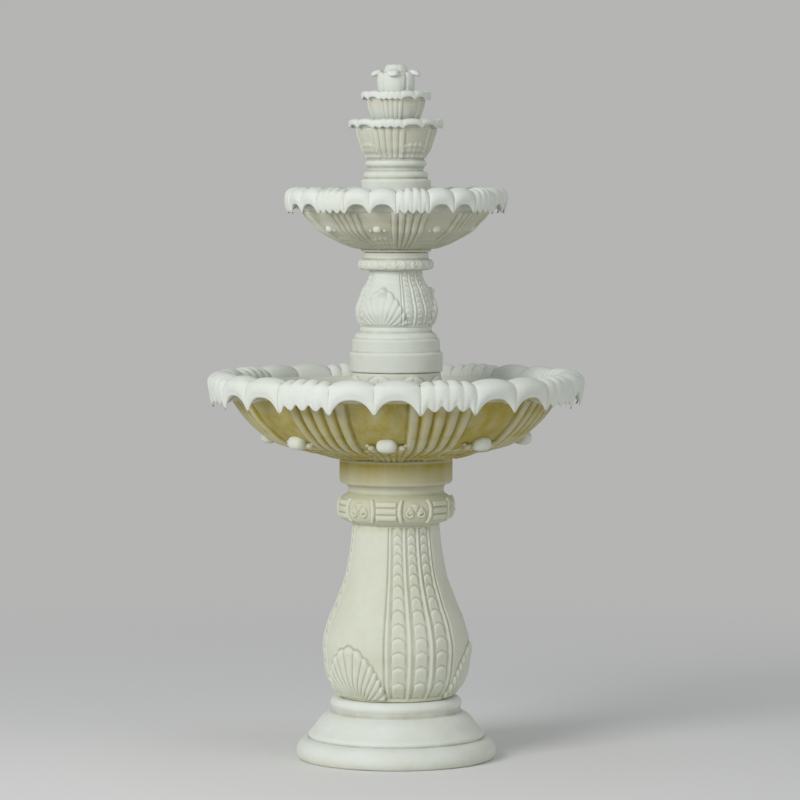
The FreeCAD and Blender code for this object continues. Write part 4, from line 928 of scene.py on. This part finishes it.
class FOUNTAIN_OT_lower_bowl(bpy.types.Operator):
    """Lower bowl: rim, ribbed body, knobs and the floor with its drain hole"""
    bl_idname = "fountain.lower_bowl"
    bl_label = "Lower bowl"

    def execute(self, context):
        carving = carving_settings()
        seat, crest = level("lower_bowl")[0] + SPIGOT_DEPTH, level("lower_bowl")[1]
        floor = level("pump_riser")[0]
        rim = rim_ring("lower_bowl_rim", LARGE_RIM, LOWER_TURN,
                       (350.0, crest - 50, 400.0, 368.0, crest, 334.0, crest - 40), (41.0, 75.0, 50.0, 65.0),
                       1280, 58, carving, 0.8)
        under = curve((120, seat + 2), (148, seat + 9), (169, seat + 15.5), (190, seat + 21),
                      (211, seat + 25), (231, seat + 31), (248, seat + 36.5), (262, seat + 43.5),
                      (276, seat + 53), (288, seat + 63.5), (301, seat + 75), (313, seat + 87.5),
                      (324, seat + 101), (333, seat + 114), (342, seat + 127), (351, seat + 140), step=4.2)
        inside = [line((351, seat + 140), (348, seat + 146), (338, crest - 30), (334, crest - 24), step=8),
                  curve((334, crest - 26), (320, crest - 52), (305.5, seat + 110), (263, seat + 68.5),
                        (212.4, seat + 41), (165, floor), step=11),
                  line((165, floor), (90, floor), (90, seat), (118, seat), step=20)]
        ribs = rib_fan(LARGE_RIM, LOWER_TURN, carving.bowl_rib_height)
        leaves = foot_leaves(LARGE_RIM, LOWER_TURN, 5.0, 160, 250)

        def relief(angle, z, r):
            ends = step_up(120, 132, r)
            return (ribs(angle, z, r) + leaves(angle, z, r)) * ends

        # The whole body takes the damp colour: stain, partly painted underside shade and ground-bounce light.
        stain_and_shade = lambda angle, z, r: 0.98 + 0 * angle * r
        body = bowl_body("lower_bowl_body", 928, line((118, seat), (120, seat + 2), step=1.5), under, inside,
                         relief, stain_and_shade)
        knobs = knobs_under("lower_bowl_knobs", LARGE_RIM, LOWER_TURN + LOWER_KNOB_LEAD, 270, seat + 42,
                            (21, 18, 15), 32, (8, 9, 6), (0.12, 0.6))
        plate = drain_floor("lower_bowl_floor", seat, floor)
        finish_stone((rim, body, knobs, plate), "pedestal", "lower_bowl")
        return {"FINISHED"}


def drain_floor(name, seat, floor):
    """Floor inside the riser's seat. Rings shrink from the seat's edge to the drain hole while
    their centre moves to the hole's, and the spigot hangs under the edge."""
    hole = 14.0
    centre_y = sum(corner.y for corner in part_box("bowl_stopper")) / 2 / MM
    rows = [(92, floor, 0), (60, floor, 0.45), (hole + 1, floor, 1), (hole, floor - 1, 1),
            (hole, seat + 1, 1),
            (hole + 1, seat, 1), (60, seat, 0.3), (84, seat, 0), (84, seat - SPIGOT_DEPTH, 0),
            (98, seat - SPIGOT_DEPTH, 0),
            (98, seat, 0), (92, seat, 0)]
    runs = [np.linspace(a, b, 5)[:-1] for a, b in zip(rows, rows[1:] + rows[:1])]
    points = np.vstack(runs)[:, :, None]
    angles = full_turn(160)
    radius, height, shift = points[:, 0], points[:, 1], points[:, 2]
    x = radius * np.sin(angles)
    y = -radius * np.cos(angles) + shift * centre_y
    spots = np.stack([x, y, np.broadcast_to(height, x.shape)], axis=-1)
    flat = spots.reshape(-1, 3) * MM
    zero = np.zeros(len(flat))
    return mesh_object(name, flat, ring_faces(*spots.shape[:2])[:, ::-1],
                       {"hollow": zero, "stain_and_shade": zero + 0.35})


class FOUNTAIN_OT_riser(bpy.types.Operator):
    """Pump riser with its water inlets, under the column"""
    bl_idname = "fountain.riser"
    bl_label = "Pump riser"

    def execute(self, context):
        low, top = level("pump_riser")
        shape = outline([line((95, low), (95, top), step=2.6)],
                        [line((95, top), (81, top), step=5), line((81, top), (81, low), step=8),
                         line((81, low), (95, low), step=5)], soften=1)
        centres = [n * math.pi / 2 for n in range(4)]
        angles = turn_with_dense(300, centres, math.radians(10.5), 60)

        def inlets(angle, z):
            """Raises the lowest 60 mm over four round-headed arches 28 mm wide and 30 mm high."""
            off = from_middle(angle, 0.0, 90.0) * math.pi / 180 * 88
            arch = 30 * (np.clip(1 - (off / 14) ** 2, 0, 1)) ** 0.3
            local = z - low
            return np.where(local < 60, low + arch + local * (1 - arch / 60), z)

        def lobes(angle, z, r):
            """Upright leaves with rounded heads that end just under the top."""
            off = from_middle(angle, 22.5, 45.0)
            head = top - 6 - 26 * (off / 22.5) ** 2
            leaf = 4.5 * step_up(-1.5, 2.5, head - z) * (0.55 + 0.45 * rod(off, 22.5))
            groove = 1.5 * np.exp(-(off / 1.4) ** 2) * step_up(0, 6, head - z)
            return (leaf - groove) * step_up(low + 32, low + 60, z)

        stain_and_shade = lambda angle, z, r: 0.12 + 0.5 * (1 - step_up(low + 20, top - 30, z)) + 0 * angle
        thing = carved_ring("riser", shape, angles, lobes, stain_and_shade, lift=inlets)
        finish_stone([thing], "pedestal", "pump_riser")
        return {"FINISHED"}


class FOUNTAIN_OT_column(bpy.types.Operator):
    """Column between the bowls: plinth, carved vase, band and neck"""
    bl_idname = "fountain.column"
    bl_label = "Column"

    def execute(self, context):
        carving = carving_settings()
        z, top = level("column")
        vase_low, vase_top = z + 96, z + 216
        base = outline(
            [line((96, z + 0.3), (99, z + 1.5), (99, z + 40), (97.5, z + 41.5), step=2),
             line((97.5, z + 41.5), (94.3, z + 43), (93.6, z + 46), (92.6, z + 70), step=2),
             line((92.6, z + 70), (87.6, z + 71), step=2),
             roll((87.6, z + 71.5), (85.5, z + 79), (78, z + 84)),
             line((78, z + 84), (76, z + 86), (76, vase_low + 1), step=1.8)],
            [line((76, vase_low + 1), (63, vase_low), (63, z + 70), (81, z + 36), step=8),
             line((81, z + 36), (81, z + 0.3), (96, z + 0.3), step=8)], soften=2)
        stain_and_shade = lambda angle, height, r: 0.03 + 0 * angle * height
        plinth = carved_ring("column_plinth", base, full_turn(300), None, stain_and_shade)

        vase = outline(
            [line((74, vase_low - 2), (76, vase_low), step=1.5),
             curve((76, vase_low), (81, vase_low + 9), (84, vase_low + 18), (86.6, vase_low + 31),
                   (84.6, vase_low + 45), (81.5, vase_low + 53), (77.5, vase_low + 63), (71.5, vase_low + 79),
                   (63.5, vase_low + 91), (58, vase_low + 103), (56, vase_top), step=1.5)],
            [line((56, vase_top), (43, vase_top), step=5),
             line((43, vase_top), (43, vase_top - 8), (61, z + 128), (63, vase_low), (74, vase_low - 2),
                  step=9)],
            soften=1)
        depths = [0.72 * depth for depth in (carving.rib_height, carving.husk_height, carving.leaf_height)]
        relief = vase_relief(depths, COLUMN_BAND_ANGLE, 78.0, vase_low + 2, vase_top - 2, (9.0, 15.0),
                             (vase_low - 9, 88.0, 40.0, 15.0), tip=5.0)
        body = carved_ring("column_vase", vase, full_turn(640), relief, stain_and_shade)

        head = outline(
            [line((54, vase_top - 1), (74.5, vase_top + 0.6), step=2),
             roll((75.5, vase_top + 1), (78, vase_top + 11), (75.5, vase_top + 21)),
             line((75.5, vase_top + 21.5), (68.8, vase_top + 22.5), (68.8, top - 0.4), step=1.6)],
            [line((68.8, top - 0.2), (43, top - 0.2), (43, vase_top - 1), (54, vase_top - 1), step=6)],
            soften=2)
        band_z = vase_top + 11

        def bars(angle, height, r):
            return cartouche_band(angle, height, band_z, 8.6, 76.0, 30.0, 5.0, carving.band_depth * 0.42)

        neck = carved_ring("column_band", head, full_turn(560), bars,
                           lambda angle, height, r: 0.07 + 0.14 * step_up(top - 16, top, height) + 0 * angle)
        finish_stone((plinth, body, neck), "column", "column")
        return {"FINISHED"}


class FOUNTAIN_OT_upper_bowl(bpy.types.Operator):
    """Upper bowl: rim, ribbed body and knobs"""
    bl_idname = "fountain.upper_bowl"
    bl_label = "Upper bowl"

    def execute(self, context):
        carving = carving_settings()
        seat, crest = level("upper_bowl")[0] + SPIGOT_DEPTH, level("upper_bowl")[1]
        floor = level("third_bowl")[0]
        rim = rim_ring("upper_bowl_rim", LARGE_RIM, UPPER_TURN,
                       (195.0, crest - 52, 237.0, 213.0, crest, 183.0, crest - 26), (35.5, 57.0, 45.0, 54.5),
                       1200, 50, carving, 0.35)
        under = curve((75, seat + 7), (98, seat + 14), (117, seat + 22), (134, seat + 31), (148, seat + 39),
                      (161, seat + 48), (176, seat + 65), (187, seat + 76), (196, seat + 88), step=2.6)
        inside = [line((196, seat + 88), (192, crest - 46), (184, crest - 24), (182, crest - 20), step=6),
                  curve((182, crest - 22), (168, crest - 53), (146.5, floor + 25.5), (120.4, floor + 6.4),
                        (96, floor), step=9),
                  line((96, floor), (12.3, floor), (12.3, seat + 8), (28, seat + 8), (28, seat - 14),
                       (42, seat - 14), (42, seat), (72, seat), step=16)]
        ribs = rib_fan(LARGE_RIM, UPPER_TURN, carving.bowl_rib_height * 0.65)
        leaves = foot_leaves(LARGE_RIM, UPPER_TURN, 2.2, 96, 140)

        def relief(angle, z, r):
            ends = step_up(76, 84, r) * step_up(seat + 6, seat + 9, z)
            return (ribs(angle, z, r) + leaves(angle, z, r)) * ends

        # The body takes about a third of the damp colour: stain, partly painted underside shade and ground
        # bounce.
        stain_and_shade = lambda angle, z, r: 0.33 + 0 * angle * r
        body = bowl_body("upper_bowl_body", 880, line((72, seat), (74, seat + 1), (74, seat + 6), step=1.5),
                         under, inside, relief, stain_and_shade)
        knobs = knobs_under("upper_bowl_knobs", LARGE_RIM, UPPER_TURN, 161, seat + 50, (9, 9, 8), 15,
                            (4, 5, 4), (0.08, 0.2))
        finish_stone((rim, body, knobs), "column", "upper_bowl")
        return {"FINISHED"}


class FOUNTAIN_OT_third_bowl(bpy.types.Operator):
    """Third bowl on its moulded neck"""
    bl_idname = "fountain.third_bowl"
    bl_label = "Third bowl"

    def execute(self, context):
        carving = carving_settings()
        z, crest = level("third_bowl")
        floor = level("fourth_bowl")[0]
        neck = z + 122
        wall_top = crest - 21
        outside = [
            line((84, z + 0.4), (84, z + 16), (74, z + 24), (74, neck), step=2.6),
            line((74, neck), (66.5, neck + 4), step=1.6),
            roll((65.8, neck + 5), (68.4, neck + 11), (65, neck + 17)),
            line((65, neck + 17), (58, neck + 20), step=1.6),
            line((58, neck + 20), (58.6, neck + 27), step=1.5),
            roll((59.5, neck + 28), (64.7, neck + 35), (59.5, neck + 42)),
            curve((58.5, neck + 45), (64.5, neck + 56), (71, neck + 66), (77, neck + 83), (81.5, neck + 97),
                  (85, wall_top + 2), step=1.6)]
        inside = [line((85, wall_top + 2), (80, crest - 12), (72, crest - 6), step=4),
                  curve((72, crest - 7), (68, crest - 32), (58, floor + 7), (39, floor), step=4),
                  line((39, floor), (13.6, floor), (13.6, floor - 12), (41, floor - 12), (41, neck + 12),
                       (62, neck - 14), (62, z + 0.4), (84, z + 0.4), step=9)]
        ribs = rib_fan(SMALL_RIM, SMALL_TURN, 3.0, spread=1.3)
        leaves = foot_leaves(SMALL_RIM, SMALL_TURN, 2.2, neck + 50, neck + 80)
        body_z = neck + 44

        def relief(angle, height, r):
            start = step_up(body_z, body_z + 6, height)
            return (ribs(angle, height, r) + leaves(angle, height, height)) * start

        stain_and_shade = lambda angle, height, r: 0.2 * step_up(body_z, body_z + 20, height) + 0.05 + 0 * angle
        body = carved_ring("third_bowl_body", outline(outside, inside, soften=1), full_turn(400), relief,
                           stain_and_shade)
        rim = rim_ring("third_bowl_rim", SMALL_RIM, SMALL_TURN,
                       (84.5, crest - 20, 100.7, 87.0, crest, 72.5, crest - 13), (13.0, 21.0, 16.0, 20.0),
                       760, 44, carving, 0.15)
        finish_stone((body, rim), "third_tier", "third_bowl")
        return {"FINISHED"}


class FOUNTAIN_OT_fourth_bowl(bpy.types.Operator):
    """Fourth bowl"""
    bl_idname = "fountain.fourth_bowl"
    bl_label = "Fourth bowl"

    def execute(self, context):
        carving = carving_settings()
        z, crest = level("fourth_bowl")
        floor = level("finial")[0]
        wall_top = crest - 21
        outside = [line((40, z + 0.4), (40, z + 42), step=3),
                   curve((40, z + 42), (46, z + 58), (50, z + 65), (54.5, z + 76), (58.2, z + 88),
                         (60, wall_top + 2), step=1.6)]
        inside = [line((60, wall_top + 2), (57, crest - 12), (50, crest - 6), step=3),
                  line((50, crest - 7), (49.6, floor + 8), (41.6, floor), (13.6, floor), (13.6, floor - 9),
                       (31, floor - 19), (31, z + 0.4), (40, z + 0.4), step=6)]
        ribs = rib_fan(SMALL_RIM, SMALL_TURN, 2.2, spread=1.3)
        relief = lambda angle, height, r: ribs(angle, height, r) * step_up(z + 50, z + 60, height)
        stain_and_shade = lambda angle, height, r: 0.26 * step_up(wall_top - 26, wall_top, height) + 0.06 + 0 * angle
        body = carved_ring("fourth_bowl_body", outline(outside, inside, soften=1), full_turn(360), relief,
                           stain_and_shade)
        rim = rim_ring("fourth_bowl_rim", SMALL_RIM, SMALL_TURN,
                       (59.5, crest - 20, 74.2, 63.0, crest, 50.5, crest - 12), (13.5, 20.5, 16.0, 19.5),
                       640, 42, carving, 0.15)
        finish_stone((body, rim), "fourth_tier", "fourth_bowl")
        return {"FINISHED"}


class FOUNTAIN_OT_finial(bpy.types.Operator):
    """Tulip finial: cup with creases, four curled petals and the bud round the nozzle"""
    bl_idname = "fountain.finial"
    bl_label = "Finial"

    def execute(self, context):
        z, top = level("finial")
        cup = z + 29
        lip = top - 17
        outside = [line((30, z + 0.4), (30, cup - 4), step=3),
                   curve((30, cup - 4), (36, cup + 4), (37.6, cup + 14), (38.5, cup + 24), (38.0, lip - 8),
                         (36.5, lip - 2), step=1.3),
                   curve((36.5, lip - 2), (33, lip + 1), (28, lip), (25.5, lip + 0.5), (24.8, lip + 3),
                         (23.2, lip + 9), (20.5, top - 2.4), (17.5, top - 0.3), (15, top), step=1.0)]
        inside = [line((15, top), (9, top), (8.9, top - 2), (8.9, cup + 9), (15.5, cup + 9), (15.5, z + 0.4),
                       (30, z + 0.4), step=4)]
        shape = outline(outside, inside, soften=1)

        def creases(angle, height, r):
            """Creases between the four petals, and soft folds in each."""
            off = from_middle(angle, FINIAL_TURN, 90.0)
            part = step_up(cup - 4, cup + 4, height)
            fold = 1.2 * np.cos(np.radians(off * 4)) * (r > 30)
            return part * (fold - 3.4 * np.exp(-((np.abs(off) - 45) / 5.0) ** 2) * (r > 27))

        body = carved_ring("finial_cup", shape, full_turn(360), creases,
                           lambda angle, height, r: 0.05 + 0 * angle * height)
        petals_of = [block_grid((40.5, lip + 0.5), (12.5, 12.0, 6.6), math.radians(FINIAL_TURN + 90 * n),
                                power=0.8, bend=0.01, rows=26, columns=36) for n in range(4)]
        curls = solid_from_grids("finial_petals", petals_of, [0.0] * 4)
        finish_stone((body, curls), "finial", "finial")
        return {"FINISHED"}


class FOUNTAIN_OT_stage(bpy.types.Operator):
    """Pale floor, soft lamps and the camera"""
    bl_idname = "fountain.stage"
    bl_label = "Stage"

    def execute(self, context):
        stage = context.scene.fountain_stage
        scene = context.scene
        material, tree, shader = new_material("pale floor")
        away = add(tree, "ShaderNodeVectorMath", operation="LENGTH")
        tree.links.new(tree.nodes.new("ShaderNodeTexCoord").outputs["Object"], away.inputs[0])
        share = remap(tree, away.outputs["Value"], 0.7, 3.0)
        near = tinted(tree, share, (*stage.floor_colour, 1), (0, 0, 0, 1))
        tree.links.new(near, shader.inputs["Base Color"])
        tree.links.new(share, shader.inputs["Emission Strength"])
        shader.inputs["Emission Color"].default_value = (*stage.backdrop, 1)
        shader.inputs["Roughness"].default_value = 0.9
        shader.inputs["Specular IOR Level"].default_value = 0.0
        rings = np.array([0.0001, 0.5, 2.0, 8.0, 40.0])[:, None]
        turn = full_turn(96)[None, :]
        spots = np.stack([rings * np.sin(turn), -rings * np.cos(turn), 0 * rings * turn], axis=-1)
        faces = ring_faces(*spots.shape[:2])[:4 * 96]
        floor = mesh_object("floor", spots.reshape(-1, 3), faces[:, ::-1])
        floor.data.materials.append(material)

        world = bpy.data.worlds.new("soft sky")
        scene.world = world
        world.use_nodes = True
        tree = world.node_tree
        sky, seen = tree.nodes["Background"], tree.nodes.new("ShaderNodeBackground")
        sky.inputs["Color"].default_value = (0.95, 0.98, 1.0, 1)
        sky.inputs["Strength"].default_value = stage.sky
        seen.inputs["Color"].default_value = (*stage.backdrop, 1)
        either = tree.nodes.new("ShaderNodeMixShader")
        tree.links.new(tree.nodes.new("ShaderNodeLightPath").outputs["Is Camera Ray"], either.inputs[0])
        tree.links.new(sky.outputs[0], either.inputs[1])
        tree.links.new(seen.outputs[0], either.inputs[2])
        tree.links.new(either.outputs[0], tree.nodes["World Output"].inputs["Surface"])

        for name, power, size, place in (("key", stage.key_power, 2.4, (-3.3, -4.0, 2.9)),
                                         ("fill", stage.fill_power, 3.0, (3.4, -3.0, 2.2))):
            lamp = bpy.data.lights.new(name, "AREA")
            lamp.energy, lamp.size = power, size
            thing = bpy.data.objects.new(name, lamp)
            thing.location = place
            aim = np.array([0, 0, 0.8]) - np.array(place)
            thing.rotation_euler = (math.atan2(math.hypot(aim[0], aim[1]), -aim[2]), 0,
                                    math.atan2(aim[1], aim[0]) - math.pi / 2)
            scene.collection.objects.link(thing)

        camera = bpy.data.cameras.new("camera")
        camera.lens, camera.sensor_width = stage.lens, 36.0
        camera.clip_end = 200.0
        thing = bpy.data.objects.new("camera", camera)
        thing.location = (0.0085, -stage.camera_distance, stage.camera_height)
        thing.rotation_euler = (math.pi / 2 - stage.tilt, 0, 0)
        scene.collection.objects.link(thing)
        scene.camera = thing
        scene.view_settings.view_transform = "Standard"
        return {"FINISHED"}


OPERATORS = (FOUNTAIN_OT_materials, FOUNTAIN_OT_foot, FOUNTAIN_OT_pedestal, FOUNTAIN_OT_lower_bowl,
             FOUNTAIN_OT_riser, FOUNTAIN_OT_column, FOUNTAIN_OT_upper_bowl, FOUNTAIN_OT_third_bowl,
             FOUNTAIN_OT_fourth_bowl, FOUNTAIN_OT_finial, FOUNTAIN_OT_stage)
SETTINGS = {"fountain_stone": FountainStone, "fountain_carving": FountainCarving,
            "fountain_stage": FountainStage}


class FOUNTAIN_PT_panel(bpy.types.Panel):
    """Settings and steps of the fountain"""
    bl_idname = "FOUNTAIN_PT_panel"
    bl_label = "Tiered fountain"
    bl_space_type = "VIEW_3D"
    bl_region_type = "UI"
    bl_category = "Fountain"

    def draw(self, context):
        for key, kind in SETTINGS.items():
            box = self.layout.box()
            for name in kind.__annotations__:
                box.prop(getattr(context.scene, key), name)
        for operator in OPERATORS:
            self.layout.operator(operator.bl_idname)


def register():
    for kind in (*SETTINGS.values(), *OPERATORS, FOUNTAIN_PT_panel):
        bpy.utils.register_class(kind)
    for key, kind in SETTINGS.items():
        setattr(bpy.types.Scene, key, PointerProperty(type=kind))


def unregister():
    for key in SETTINGS:
        delattr(bpy.types.Scene, key)
    for kind in (FOUNTAIN_PT_panel, *reversed(OPERATORS), *SETTINGS.values()):
        bpy.utils.unregister_class(kind)


def main():
    register()
    for operator in OPERATORS:
        group, name = operator.bl_idname.split(".")
        getattr(getattr(bpy.ops, group), name)()


if __name__ == "__main__":
    main()
